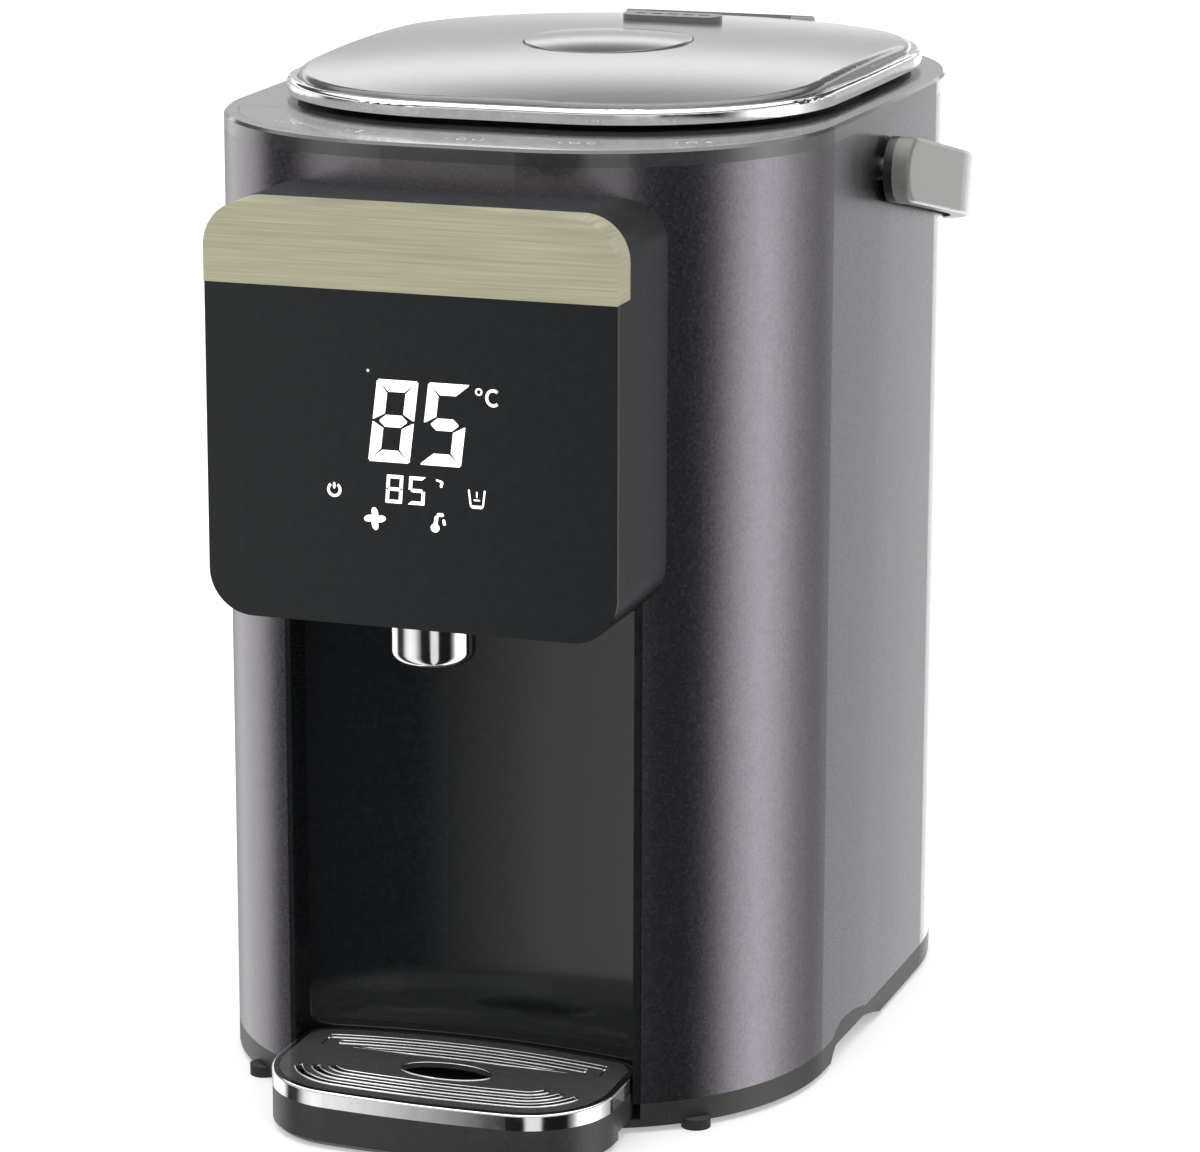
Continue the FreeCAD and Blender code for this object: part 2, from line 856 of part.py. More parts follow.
def lid_cover():
    base_z = lid_bottom_z + lid_pan_wall
    outer = lid_block(ring_width, base_z, lid_top_z + 2).common(dome_ball(0))
    crown = max(outer.Faces, key=lambda f: f.CenterOfMass.z)
    outer = outer.makeFillet(dome_edge, crown.Edges)
    inner = lid_block(ring_width + cover_wall, base_z - 1, lid_top_z + 2)
    cover = outer.cut(inner.common(dome_ball(cover_wall)))
    gap = move_gap
    hole = ellipse_block(button_half_x + gap, button_half_y + gap, button_y, base_z, big)
    cover = cover.cut(hole)
    return cover.cut(upright(steam_tube_bore, 0, vent_y, base_z, big))


def lid_trim_ring():
    ring = lid_block(0, lid_bottom_z, ring_top_z)
    top_edges = [e for e in ring.Edges if e.BoundBox.ZMin > ring_top_z - 0.01]
    ring = ring.makeFillet(ring_edge, top_edges)
    ring = ring.cut(lid_block(ring_width, lid_bottom_z - 1, ring_top_z + 1))
    slot = barrel_half_length + fit_gap
    return ring.cut(box(-slot, slot, hinge_y - hinge_relief, big, 0, lid_bottom_z + web_height + fit_gap))


def lid_base():
    pan = lid_block(ring_width, lid_bottom_z, lid_bottom_z + lid_pan_wall)
    pan = pan.cut(upright(plug_radius - plug_wall, 0, pot_y, 0, big))
    wall = pipe_ring(plug_radius, plug_radius - plug_wall, 0, pot_y, plug_floor_z, lid_bottom_z + lid_pan_wall)
    floor = upright(plug_radius, 0, pot_y, plug_floor_z, plug_floor_z + plug_wall)
    web = box(
        -barrel_half_length, barrel_half_length, hinge_y - web_depth, hinge_y,
        lid_bottom_z, lid_bottom_z + web_height,
    )
    web = web.cut(lid_block(ring_width, lid_bottom_z + lid_pan_wall, big))
    barrel = rod(
        hinge_radius, Vector(-barrel_half_length, hinge_y, hinge_z),
        Vector(barrel_half_length, hinge_y, hinge_z),
    )
    guides = [
        box(-latch_half_width, latch_half_width, y, y + latch_guide, plug_floor_z, latch_z)
        for y in (pot_y - plug_radius + latch_guide * 2, latch_rear_y - latch_guide_margin)
    ]
    post = box(
        -latch_post_half, latch_post_half, latch_back_y, latch_back_y + latch_post_depth,
        plug_floor_z, latch_z + latch_height + latch_post_rise,
    )
    base = joined([pan, wall, floor, web, barrel, post] + guides)
    base = base.cut(hinge_bore())
    slot = latch_half_width + fit_gap
    base = base.cut(
        box(
            -slot, slot, 0, pot_y - plug_radius + latch_guide,
            latch_z - fit_gap, latch_z + latch_height + fit_gap,
        )
    )
    tube_hole = upright(steam_tube_bore, 0, steam_tube_y, plug_floor_z - 1, plug_floor_z + plug_wall + 1)
    return base.cut(tube_hole).removeSplitter()


def lid_inner_plate():
    z1 = plug_floor_z
    plate = upright(plate_radius, 0, pot_y, z1 - inner_plate_thickness, z1)
    return plate.cut(upright(steam_tube_bore, 0, steam_tube_y, 0, big))


def lid_gasket():
    outer = plate_radius + gasket_width
    return pipe_ring(outer, plate_radius, 0, pot_y, plug_floor_z - gasket_height, plug_floor_z)


def lid_latch_bar():
    z1 = latch_z + latch_height
    bar = box(-latch_half_width, latch_half_width, latch_front_y, latch_rear_y, latch_z, z1)
    tongue = [
        e for e in bar.Edges
        if e.BoundBox.YMax < latch_front_y + 0.01 and e.BoundBox.ZMin > z1 - 0.01
    ]
    return bar.makeChamfer(1.0, tongue)


def latch_spring():
    z = latch_z + latch_height / 2
    return rod(latch_spring_radius, Vector(0, latch_rear_y, z), Vector(0, latch_back_y, z))


def lid_button():
    # An oval cap with a low crown, held under the cover by its flange
    flange_top = lid_top_z - cover_wall - move_gap - button_bed
    top = lid_top_z + button_rise
    cap = ellipse_block(button_half_x, button_half_y, button_y, flange_top - button_edge, top)
    crown = Part.makeSphere(button_crown, Vector(0, button_y, top - button_crown))
    cap = cap.common(crown)
    face = max(cap.Faces, key=lambda f: f.CenterOfMass.z)
    cap = cap.makeFillet(button_edge, face.Edges)
    flange = ellipse_block(
        button_half_x + button_flange, button_half_y + button_flange, button_y,
        flange_top - button_flange_wall, flange_top,
    )
    stem_top = flange_top - button_flange_wall
    stem = upright(stem_radius, 0, button_y, stem_top - stem_length, stem_top)
    return joined([cap, flange, stem])


def button_spring():
    # Plain sleeve in the place of the coil, between the lid's floor and the button's flange
    inner = stem_radius + spring_gap
    top = lid_top_z - cover_wall - move_gap - button_bed - button_flange_wall
    return pipe_ring(inner + spring_wall, inner, 0, button_y, plug_floor_z + plug_wall, top)


def steam_vent_cap():
    corner = vent_half_depth - button_edge
    cap = box(
        -vent_half_width, vent_half_width, vent_y - vent_half_depth, vent_y + vent_half_depth,
        lid_top_z - vent_skirt, lid_top_z + vent_rise - dome_drop(vent_y),
    )
    upright_edges = [e for e in cap.Edges if e.BoundBox.ZLength > 5]
    cap = cap.makeFillet(corner, upright_edges).cut(dome_ball(0))
    for n in range(vent_slots):
        x = (n - (vent_slots - 1) / 2) * vent_slot_spacing
        cap = cap.cut(
            box(x - vent_slot_half, x + vent_slot_half, vent_y - 1, vent_y + 1, lid_top_z - vent_skirt, big)
        )
    return cap


def steam_tube():
    # Standing tube that joins the hole in the lid's floor to the vent
    floor = plug_floor_z + plug_wall
    top = lid_top_z - cover_wall - chest_drop
    tube = pipe_ring(steam_tube_radius, steam_tube_bore, 0, steam_tube_y, floor, top)
    reach = steam_tube_radius + move_gap
    box_top = top + chest_height
    chest = box(-reach, reach, steam_tube_y - reach, vent_y + reach, top, box_top)
    chest = chest.cut(
        box(
            -steam_tube_bore, steam_tube_bore, steam_tube_y - steam_tube_bore,
            vent_y + steam_tube_bore, top - 1, box_top + 1,
        )
    )
    lid_hole = upright(plug_radius - plug_wall - fit_gap, 0, pot_y, 0, lid_bottom_z + lid_pan_wall)
    keep = lid_hole.fuse(box(-big, big, 0, big, lid_bottom_z + lid_pan_wall, big))
    return tube.fuse(chest).common(keep).removeSplitter()


def lid_hinge_pin():
    reach = barrel_half_length + move_gap + ear_length
    return rod(hinge_pin_radius, Vector(-reach, hinge_y, hinge_z), Vector(reach, hinge_y, hinge_z))


def bail_wire(half, reach, z):
    # Straight arms from the pivot axis, joined behind by a half circle
    left = Vector(-half, 0, z)
    left_end = Vector(-half, reach, z)
    right_end = Vector(half, reach, z)
    right = Vector(half, 0, z)
    return Part.Wire([
        Part.LineSegment(left, left_end).toShape(),
        Part.Arc(left_end, Vector(0, reach + half, z), right_end).toShape(),
        Part.LineSegment(right_end, right).toShape(),
        Part.LineSegment(right, left).toShape(),
    ])


def carry_handle():
    # Built flat round its pivot axis at the origin, then lowered to its folded place
    half_tall = handle_tall / 2
    outer = prism(bail_wire(handle_outer, handle_reach, -half_tall), handle_tall)
    rims = [
        e for e in outer.Edges
        if e.BoundBox.ZLength < 0.01 and e.BoundBox.YMax > 1 and e.BoundBox.YLength > 1
    ]
    outer = outer.makeFillet(handle_edge, rims)
    bail = outer.cut(prism(bail_wire(handle_inner, handle_reach, -half_tall - 1), handle_tall + 2))
    for side in (-1, 1):
        x0, x1 = sorted((side * handle_root_inner, side * handle_outer))
        root = rod(half_tall, Vector(x0, 0, 0), Vector(x1, 0, 0))
        sides = [e for e in root.Edges if abs(abs(e.CenterOfMass.x) - handle_outer) < 0.01]
        root = root.makeFillet(handle_edge, sides)
        inner_x0, inner_x1 = sorted((side * handle_root_inner, side * (handle_inner + 1)))
        cheek = box(inner_x0, inner_x1, 0, handle_root_length, -half_tall, half_tall)
        bail = bail.fuse(root).fuse(cheek)
        bore_x0, bore_x1 = sorted((0.0, side * (pivot_end_x + move_gap)))
        bail = bail.cut(rod(pivot_radius + shaft_gap, Vector(bore_x0, 0, 0), Vector(bore_x1, 0, 0)))
    bail = bail.removeSplitter()
    bail.rotate(Vector(0, 0, 0), Vector(1, 0, 0), -handle_droop)
    bail.translate(Vector(0, handle_y, handle_z))
    return bail


def handle_pivot_pins():
    pins = []
    for side in (-1, 1):
        start = Vector(side * pivot_start_x, handle_y, handle_z)
        pins.append(rod(pivot_radius, start, Vector(side * pivot_end_x, handle_y, handle_z)))
    return Part.Compound(pins)


def handle_brackets():
    blocks = []
    inside = body_block(shell_wall + fit_gap, 0, big)
    for side in (-1, 1):
        x0, x1 = sorted((side * pivot_start_x, side * body_half_width))
        block = box(
            x0, x1, handle_y - pivot_block, handle_y + pivot_block,
            handle_z - pivot_block, handle_z + pivot_block,
        ).common(inside)
        start = Vector(side * pivot_start_x, handle_y, handle_z)
        hole = rod(pivot_radius + shaft_gap, start, Vector(side * big, handle_y, handle_z))
        blocks.append(block.cut(hole))
    return Part.Compound(blocks)


def bay_liner():
    z1 = head_bottom_z + liner_wall
    liner = bay_cut(seam_z, z1, 0).cut(bay_space(seam_z - 1, head_bottom_z))
    liner = liner.common(body_block(0, 0, big))
    return liner


def head_outer(y0, y1):
    return front_panel_block(head_half_width, head_bottom_z, head_top_z, head_corner, y0, y1)


def head_inner(y0, y1):
    return front_panel_block(
        head_half_width - head_wall, head_bottom_z + head_wall, head_top_z - head_wall,
        head_corner - head_wall, y0, y1,
    )


def band_zone(y1):
    return box(-big, big, -big, y1, band_bottom_z, big)


def head_housing():
    rear = front_corner
    shell = head_outer(panel_back_y, rear).cut(head_inner(panel_back_y - 1, rear + 1))
    shell = shell.cut(body_block(0, 0, big))
    shell = shell.common(box(-big, big, -big, pot_y / 2, 0, big))
    shell = shell.cut(band_zone(panel_back_y + band_return))
    shell = shell.cut(upright(nozzle_radius + fit_gap, 0, nozzle_y, 0, head_bottom_z + head_wall + 1))
    lens = box(
        lamp_x - lamp_half_length - fit_gap, lamp_x + lamp_half_length + fit_gap,
        lamp_y - lamp_half_width - fit_gap, lamp_y + lamp_half_width + fit_gap,
        0, head_bottom_z + head_wall + 1,
    )
    return shell.cut(lens)


def head_front_panel():
    plate = head_outer(head_front_y, panel_back_y)
    return plate.common(box(-big, big, -big, big, 0, band_bottom_z))


def head_band():
    cap = head_outer(head_front_y - band_proud, panel_back_y + band_return)
    cap = cap.cut(head_inner(panel_back_y, pot_y))
    return cap.common(band_zone(pot_y))


def lamp_lens():
    lens = box(
        lamp_x - lamp_half_length, lamp_x + lamp_half_length,
        lamp_y - lamp_half_width, lamp_y + lamp_half_width,
        head_bottom_z - lamp_drop, head_bottom_z + head_wall,
    )
    flange = box(
        lamp_x - lamp_half_length - lamp_flange, lamp_x + lamp_half_length + lamp_flange,
        lamp_y - lamp_half_width - lamp_flange, lamp_y + lamp_half_width + lamp_flange,
        head_bottom_z + head_wall, head_bottom_z + head_wall * 2,
    )
    return lens.fuse(flange)


def display_module():
    return box(
        -module_half_width, module_half_width, panel_back_y, panel_back_y + module_depth,
        module_bottom, module_top,
    )


def display_board():
    y0 = panel_back_y + module_depth
    return box(
        -display_board_half_width, display_board_half_width, y0, y0 + board_thickness,
        display_board_bottom, display_board_top,
    )


def tray_outline(inset, z0, z1):
    # Wide front arc, straight sides, and a rear arc that follows the liner, with round corners
    half = tray_half_width - inset
    front = tray_front_y + inset
    rear = bay_middle_y - tray_liner_gap - inset
    bow = bay_middle_y - bay_side_y
    rear_radius = (tray_half_width ** 2 + bow ** 2) / (2 * bow) - inset
    face_radius = tray_face_radius - inset
    front_round = max(tray_front_corner - inset, least_corner)
    rear_round = max(tray_rear_corner - inset, least_corner)
    lift = Vector(0, 0, z0)
    front_centre = Vector(0, front + face_radius, 0)
    rear_centre = Vector(0, rear - rear_radius, 0)
    side_x = half - front_round
    drop = math.sqrt((face_radius - front_round) ** 2 - side_x ** 2)
    near = Vector(side_x, front_centre.y - drop, 0)
    back_x = half - rear_round
    climb = math.sqrt((rear_radius - rear_round) ** 2 - back_x ** 2)
    far = Vector(back_x, rear_centre.y + climb, 0)
    a = toward(front_centre, near, face_radius)
    b = near.add(Vector(front_round, 0, 0))
    c = far.add(Vector(rear_round, 0, 0))
    d = toward(rear_centre, far, rear_radius)
    ab = toward(near, a.add(b).multiply(0.5), front_round)
    cd = toward(far, c.add(d).multiply(0.5), rear_round)
    arcs = [
        (mirror_x(a), Vector(0, front, 0), a), (a, ab, b), (c, cd, d),
        (d, Vector(0, rear, 0), mirror_x(d)), (mirror_x(d), mirror_x(cd), mirror_x(c)),
        (mirror_x(b), mirror_x(ab), mirror_x(a)),
    ]
    edges = [Part.Arc(*[p.add(lift) for p in arc]).toShape() for arc in arcs]
    edges.insert(2, Part.LineSegment(b.add(lift), c.add(lift)).toShape())
    edges.insert(6, Part.LineSegment(mirror_x(c).add(lift), mirror_x(b).add(lift)).toShape())
    return prism(Part.Wire(edges), z1 - z0)


def drip_tray_cup():
    cup = tray_outline(fit_gap, tray_bottom_z, trim_bottom_z)
    lower = [e for e in cup.Edges if e.BoundBox.ZMax < tray_bottom_z + 0.01]
    cup = cup.makeChamfer(tray_edge, lower)
    cup = cup.cut(box(-big, big, tray_step_y, big, -1, tray_step_z))
    hollow = tray_outline(tray_wall + trim_wall, tray_bottom_z + tray_wall, big)
    shelf = box(-big, big, tray_step_y - tray_wall, big, -1, tray_step_z + tray_wall)
    hollow = hollow.cut(shelf)
    return cup.cut(hollow)


def drip_tray_trim():
    band = tray_outline(0, trim_bottom_z, tray_top_z)
    upper = [e for e in band.Edges if e.BoundBox.ZMin > tray_top_z - 0.01]
    band = band.makeFillet(trim_edge, upper)
    band = band.cut(tray_outline(trim_wall, tray_top_z - grille_thickness, big))
    return band.cut(tray_outline(trim_wall + grille_ledge, 0, big))


def slot_cut(row, lower_y, upper_y):
    outer = trim_wall + slot_start + row * slot_pitch
    ring = tray_outline(outer, 0, big).cut(tray_outline(outer + slot_width, -1, big + 1))
    end = slot_end_x - row * slot_pitch
    return ring.common(box(-end, end, lower_y, upper_y, 0, big))


def drip_tray_grille():
    z0 = tray_top_z - grille_thickness
    plate = tray_outline(trim_wall + fit_gap, z0, tray_top_z)
    for row in range(slot_rows):
        plate = plate.cut(slot_cut(row, -big, slot_front_y + row * slot_pitch / 4))
        plate = plate.cut(slot_cut(row, slot_rear_y, big))
    return plate.cut(ellipse_block(drain_half_x, drain_half_y, drain_y, 0, big))


def fan_place():
    rear = body_rear_y - shell_wall - fit_gap
    return rear - fan_depth, rear


def fan_frame():
    front, rear = fan_place()
    half = fan_size / 2
    frame = box(-half, half, front, rear, fan_z - half, fan_z + half)
    frame = frame.cut(rod(fan_bore, Vector(0, front - 1, fan_z), Vector(0, rear + 1, fan_z)))
    arm = fan_strut / 2
    strut_front = rear - fan_strut
    struts = [
        box(-fan_bore - 1, fan_bore + 1, strut_front, rear, fan_z - arm, fan_z + arm),
        box(-arm, arm, strut_front, rear, fan_z - fan_bore - 1, fan_z + fan_bore + 1),
        rod(fan_hub, Vector(0, strut_front, fan_z), Vector(0, rear, fan_z)),
        rod(fan_pin, Vector(0, front + fan_front_room * 2, fan_z), Vector(0, rear, fan_z)),
    ]
    return joined([frame] + struts).common(body_block(shell_wall + fit_gap, 0, big))


def fan_rotor():
    front, rear = fan_place()
    back = rear - fan_strut - move_gap
    y0 = front + fan_front_room
    hub = rod(fan_hub, Vector(0, y0, fan_z), Vector(0, back, fan_z))
    depth = back - y0
    wheel = hub
    for n in range(fan_blades):
        tip = fan_bore - fan_tip_room
        blade = box(-fan_blade_wall / 2, fan_blade_wall / 2, -depth / 2, depth / 2, fan_hub - 1, tip)
        blade.rotate(Vector(0, 0, 0), Vector(0, 0, 1), fan_blade_tilt)
        blade.rotate(Vector(0, 0, 0), Vector(0, 1, 0), 360 * n / fan_blades)
        blade.translate(Vector(0, (y0 + back) / 2, fan_z))
        wheel = wheel.fuse(blade)
    bore = rod(fan_pin + shaft_gap, Vector(0, y0 + fan_front_room - move_gap, fan_z), Vector(0, rear, fan_z))
    return wheel.cut(bore).removeSplitter()


def board_plane():
    return body_rear_y - shell_wall - board_post_length


def post_places():
    x = board_half_width - board_post_inset
    heights = (board_bottom_z + board_post_inset, board_top_z - board_post_inset)
    return [(side * x, z) for side in (-1, 1) for z in heights]


def board_posts():
    inside = body_block(shell_wall, 0, big)
    y = board_plane()
    posts = [
        rod(board_post_radius, Vector(x, y, z), Vector(x, body_rear_y, z)).common(inside)
        for x, z in post_places()
    ]
    return Part.Compound(posts)


def board_screws():
    # Cross-head screws that hold the board on its posts, heads towards the pot
    shapes = []
    y = board_plane()
    for x, z in post_places():
        head_y = y - board_thickness - screw_head_height
        shapes.append(rod(screw_head_radius, Vector(x, head_y, z), Vector(x, head_y + screw_head_height, z)))
    return Part.Compound(shapes)


def power_board():
    y = board_plane()
    return box(
        -board_half_width, board_half_width, y - board_thickness, y, board_bottom_z, board_top_z
    )


def board_parts():
    # Transformer, relay and capacitors on the board's front face
    face = board_plane() - board_thickness
    mid = (board_bottom_z + board_top_z) / 2
    half = transformer_size / 2
    shapes = [box(-half, half, face - transformer_depth, face, mid - half, mid + half)]
    relay_x = half + relay_size
    shapes.append(
        box(
            -relay_x, -half - relay_space, face - relay_depth, face,
            mid - parts_offset, mid + relay_size,
        )
    )
    x = half + capacitor_radius + parts_space
    for z in (mid - parts_offset - capacitor_radius - relay_space, mid + parts_offset):
        shapes.append(rod(capacitor_radius, Vector(x, face - capacitor_length, z), Vector(x, face, z)))
    return Part.Compound(shapes)


def inlet_faces():
    rear = body_rear_y + inlet_proud
    return rear - inlet_depth, rear


def power_inlet():
    front, rear = inlet_faces()
    body = box(-inlet_half_width, inlet_half_width, front, rear, inlet_bottom_z, inlet_top_z)
    edges = [e for e in body.Edges if e.BoundBox.YLength > inlet_depth - 0.01]
    body = body.makeFillet(inlet_corner, edges)
    cavity = box(
        -inlet_half_width + inlet_wall, inlet_half_width - inlet_wall, front + inlet_wall * 2, rear + 1,
        inlet_bottom_z + inlet_wall, inlet_top_z - inlet_wall,
    )
    body = body.cut(cavity)
    z = (inlet_bottom_z + inlet_top_z) / 2
    for side in (-1, 1):
        x = side * inlet_pin_spacing / 2
        body = body.cut(rod(inlet_pin_radius + shaft_gap, Vector(x, 0, z), Vector(x, big, z)))
    return body


def inlet_pins():
    front, rear = inlet_faces()
    z = (inlet_bottom_z + inlet_top_z) / 2
    pins = []
    for side in (-1, 1):
        x = side * inlet_pin_spacing / 2
        pins.append(rod(inlet_pin_radius, Vector(x, front, z), Vector(x, front + inlet_pin_length, z)))
    return Part.Compound(pins)


pieces = [
    outer_shell, base_pan, feet, base_screws, pump_bracket, pump_body, pump_impeller,
    suction_hose, riser_hose, spout_elbow, nozzle_tip, inner_pot, pot_seal, band_heater,
    insulation_sleeve, heating_plate, temperature_sensor, top_collar, touch_key_strip,
    touch_key_board, lid_cover, lid_trim_ring, lid_base, lid_inner_plate, lid_gasket,
    lid_latch_bar, latch_spring, lid_button, button_spring, steam_vent_cap, steam_tube,
    lid_hinge_pin, carry_handle, handle_pivot_pins, handle_brackets, bay_liner, head_housing,
    head_front_panel, head_band, lamp_lens, display_module, display_board, drip_tray_cup,
    drip_tray_trim, drip_tray_grille, fan_frame, fan_rotor, power_board, board_parts,
    board_posts, board_screws, power_inlet, inlet_pins,
]

os.makedirs("parts", exist_ok=True)
for make in pieces:
    shape = make()
    shape.translate(Vector(0, -middle_y, 0))
    shape.exportStep("parts/" + make.__name__ + ".step")
    print(make.__name__, len(shape.Solids), round(shape.Volume), shape.isValid())
print("middle_y", round(middle_y, 3))
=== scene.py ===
import json
import math
import bpy
import numpy as np
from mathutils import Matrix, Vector


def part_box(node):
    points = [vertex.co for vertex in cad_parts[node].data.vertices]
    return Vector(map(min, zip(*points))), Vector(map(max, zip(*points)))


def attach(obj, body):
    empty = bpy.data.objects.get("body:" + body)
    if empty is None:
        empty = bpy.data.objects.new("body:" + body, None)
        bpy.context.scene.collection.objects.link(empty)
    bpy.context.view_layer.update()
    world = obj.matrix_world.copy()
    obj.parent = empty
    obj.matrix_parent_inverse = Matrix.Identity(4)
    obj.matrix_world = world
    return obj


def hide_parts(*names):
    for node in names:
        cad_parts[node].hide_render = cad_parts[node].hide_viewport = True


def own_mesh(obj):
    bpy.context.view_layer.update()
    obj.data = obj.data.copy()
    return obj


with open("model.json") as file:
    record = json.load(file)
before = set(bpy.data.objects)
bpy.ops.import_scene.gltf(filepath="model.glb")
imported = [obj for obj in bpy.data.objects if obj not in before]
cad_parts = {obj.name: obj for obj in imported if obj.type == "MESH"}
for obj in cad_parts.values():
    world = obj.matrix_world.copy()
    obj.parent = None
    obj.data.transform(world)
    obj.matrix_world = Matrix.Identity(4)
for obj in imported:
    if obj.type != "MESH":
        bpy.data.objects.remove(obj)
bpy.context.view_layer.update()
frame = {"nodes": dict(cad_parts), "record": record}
nodes = frame["nodes"]
slotOf = {part["node"]: part["material_slot"] for part in frame["record"]["subparts"]}
print("frame loaded:", len(nodes), "nodes")

midDepth = 136.614  # mm from the body's front face back to the middle of the row's box


def place(x, y, z):
    # millimetres measured from the body's front face, turned into metres in the row's frame
    return np.stack(np.broadcast_arrays(x, np.asarray(y) - midDepth, z), axis=-1) / 1000.0


# Shared effects: each is built once and put into the materials with its own values

# a near-black tone and a depth among these values paint shade on the handle's root
effects = {"grainFrom": 0.3, "grainTo": 0.7, "edgeTo": 0.62, "edgeCloud": 260.0, "flakePower": 3.0,
           "flakeWarm": (0.30, 0.22, 0.34, 1), "flakeCool": (0.30, 0.34, 0.36, 1), "dustCloud": 90.0,
           "dustDetail": 6.0, "dustTone": (0.42, 0.41, 0.39), "wornGain": 2.2, "wornLift": 0.03,
           "paintedShadeTone": (0.008, 0.008, 0.009), "paintedShadeDepth": 0.02, "bumpDistance": 0.0004}


def newGroup(name, inputs, outputs):
    group = bpy.data.node_groups.new(name, "ShaderNodeTree")
    for label, kind, value in inputs:
        socket = group.interface.new_socket(name=label, in_out="INPUT", socket_type=kind)
        if value is not None:
            socket.default_value = value
    for label, kind in outputs:
        group.interface.new_socket(name=label, in_out="OUTPUT", socket_type=kind)
    return group, group.nodes.new("NodeGroupInput"), group.nodes.new("NodeGroupOutput")


def mathNode(tree, operation, first, second=None, clamp=False):
    node = tree.nodes.new("ShaderNodeMath")
    node.operation = operation
    node.use_clamp = clamp
    for socket, value in zip(node.inputs, (first, second)):
        if isinstance(value, (int, float)):
            socket.default_value = value
        elif value is not None:
            tree.links.new(value, socket)
    return node.outputs[0]


def makeGrain():
    # cloudy noise at one scale with a finer one over it; the mask runs from 0 to 1
    inputs = [("Vector", "NodeSocketVector", None), ("Scale", "NodeSocketFloat", 400.0),
              ("Detail", "NodeSocketFloat", 3.0)]
    group, enter, leave = newGroup("fineGrain", inputs, [("Mask", "NodeSocketFloat")])
    noise = group.nodes.new("ShaderNodeTexNoise")
    for label, _, _ in inputs:
        group.links.new(enter.outputs[label], noise.inputs[label])
    spread = group.nodes.new("ShaderNodeMapRange")
    spread.inputs["From Min"].default_value = effects["grainFrom"]
    spread.inputs["From Max"].default_value = effects["grainTo"]
    group.links.new(noise.outputs["Fac"], spread.inputs["Value"])
    group.links.new(spread.outputs[0], leave.inputs["Mask"])
    return group


def makeWear():
    # convex edges of the mesh, thinned by a cloudy noise, as a mask
    group, enter, leave = newGroup(
        "edgeWear",
        [("Vector", "NodeSocketVector", None), ("Start", "NodeSocketFloat", 0.53),
         ("Amount", "NodeSocketFloat", 0.5)],
        [("Mask", "NodeSocketFloat")])
    shape = group.nodes.new("ShaderNodeNewGeometry")
    ramp = group.nodes.new("ShaderNodeMapRange")
    group.links.new(shape.outputs["Pointiness"], ramp.inputs["Value"])
    group.links.new(enter.outputs["Start"], ramp.inputs["From Min"])
    ramp.inputs["From Max"].default_value = effects["edgeTo"]
    noise = group.nodes.new("ShaderNodeTexNoise")
    noise.inputs["Scale"].default_value = effects["edgeCloud"]
    group.links.new(enter.outputs["Vector"], noise.inputs["Vector"])
    patchy = mathNode(group, "MULTIPLY", ramp.outputs[0], noise.outputs["Fac"])
    worn = mathNode(group, "MULTIPLY", patchy, enter.outputs["Amount"], clamp=True)
    group.links.new(worn, leave.inputs["Mask"])
    return group


def makeFlake():
    # tiny cells with a random brightness each, as pearl flakes under lacquer
    group, enter, leave = newGroup(
        "pearlFlake",
        [("Vector", "NodeSocketVector", None), ("Scale", "NodeSocketFloat", 3200.0),
         ("Amount", "NodeSocketFloat", 0.3)],
        [("Mask", "NodeSocketFloat"), ("Colour", "NodeSocketColor")])
    cells = group.nodes.new("ShaderNodeTexVoronoi")
    group.links.new(enter.outputs["Vector"], cells.inputs["Vector"])
    group.links.new(enter.outputs["Scale"], cells.inputs["Scale"])
    split = group.nodes.new("ShaderNodeSeparateColor")
    group.links.new(cells.outputs["Color"], split.inputs[0])
    bright = mathNode(group, "POWER", split.outputs[0], effects["flakePower"])
    shown = mathNode(group, "MULTIPLY", bright, enter.outputs["Amount"], clamp=True)
    group.links.new(shown, leave.inputs["Mask"])
    ramp = group.nodes.new("ShaderNodeValToRGB")
    ramp.color_ramp.elements[0].color = effects["flakeWarm"]
    ramp.color_ramp.elements[1].color = effects["flakeCool"]
    group.links.new(split.outputs[1], ramp.inputs["Fac"])
    group.links.new(ramp.outputs["Color"], leave.inputs["Colour"])
    return group


def makeDust():
    # faces that look upwards, broken up by noise: a thin film of dust as a mask
    group, enter, leave = newGroup(
        "dustFilm",
        [("Vector", "NodeSocketVector", None), ("Amount", "NodeSocketFloat", 0.1)],
        [("Mask", "NodeSocketFloat")])
    shape = group.nodes.new("ShaderNodeNewGeometry")
    split = group.nodes.new("ShaderNodeSeparateXYZ")
    group.links.new(shape.outputs["Normal"], split.inputs[0])
    noise = group.nodes.new("ShaderNodeTexNoise")
    noise.inputs["Scale"].default_value = effects["dustCloud"]
    noise.inputs["Detail"].default_value = effects["dustDetail"]
    group.links.new(enter.outputs["Vector"], noise.inputs["Vector"])
    upward = mathNode(group, "MAXIMUM", split.outputs[2], 0.0)
    lying = mathNode(group, "MULTIPLY", upward, noise.outputs["Fac"])
    film = mathNode(group, "MULTIPLY", lying, enter.outputs["Amount"], clamp=True)
    group.links.new(film, leave.inputs["Mask"])
    return group


groups = {"grain": makeGrain(), "wear": makeWear(), "flake": makeFlake(), "dust": makeDust()}

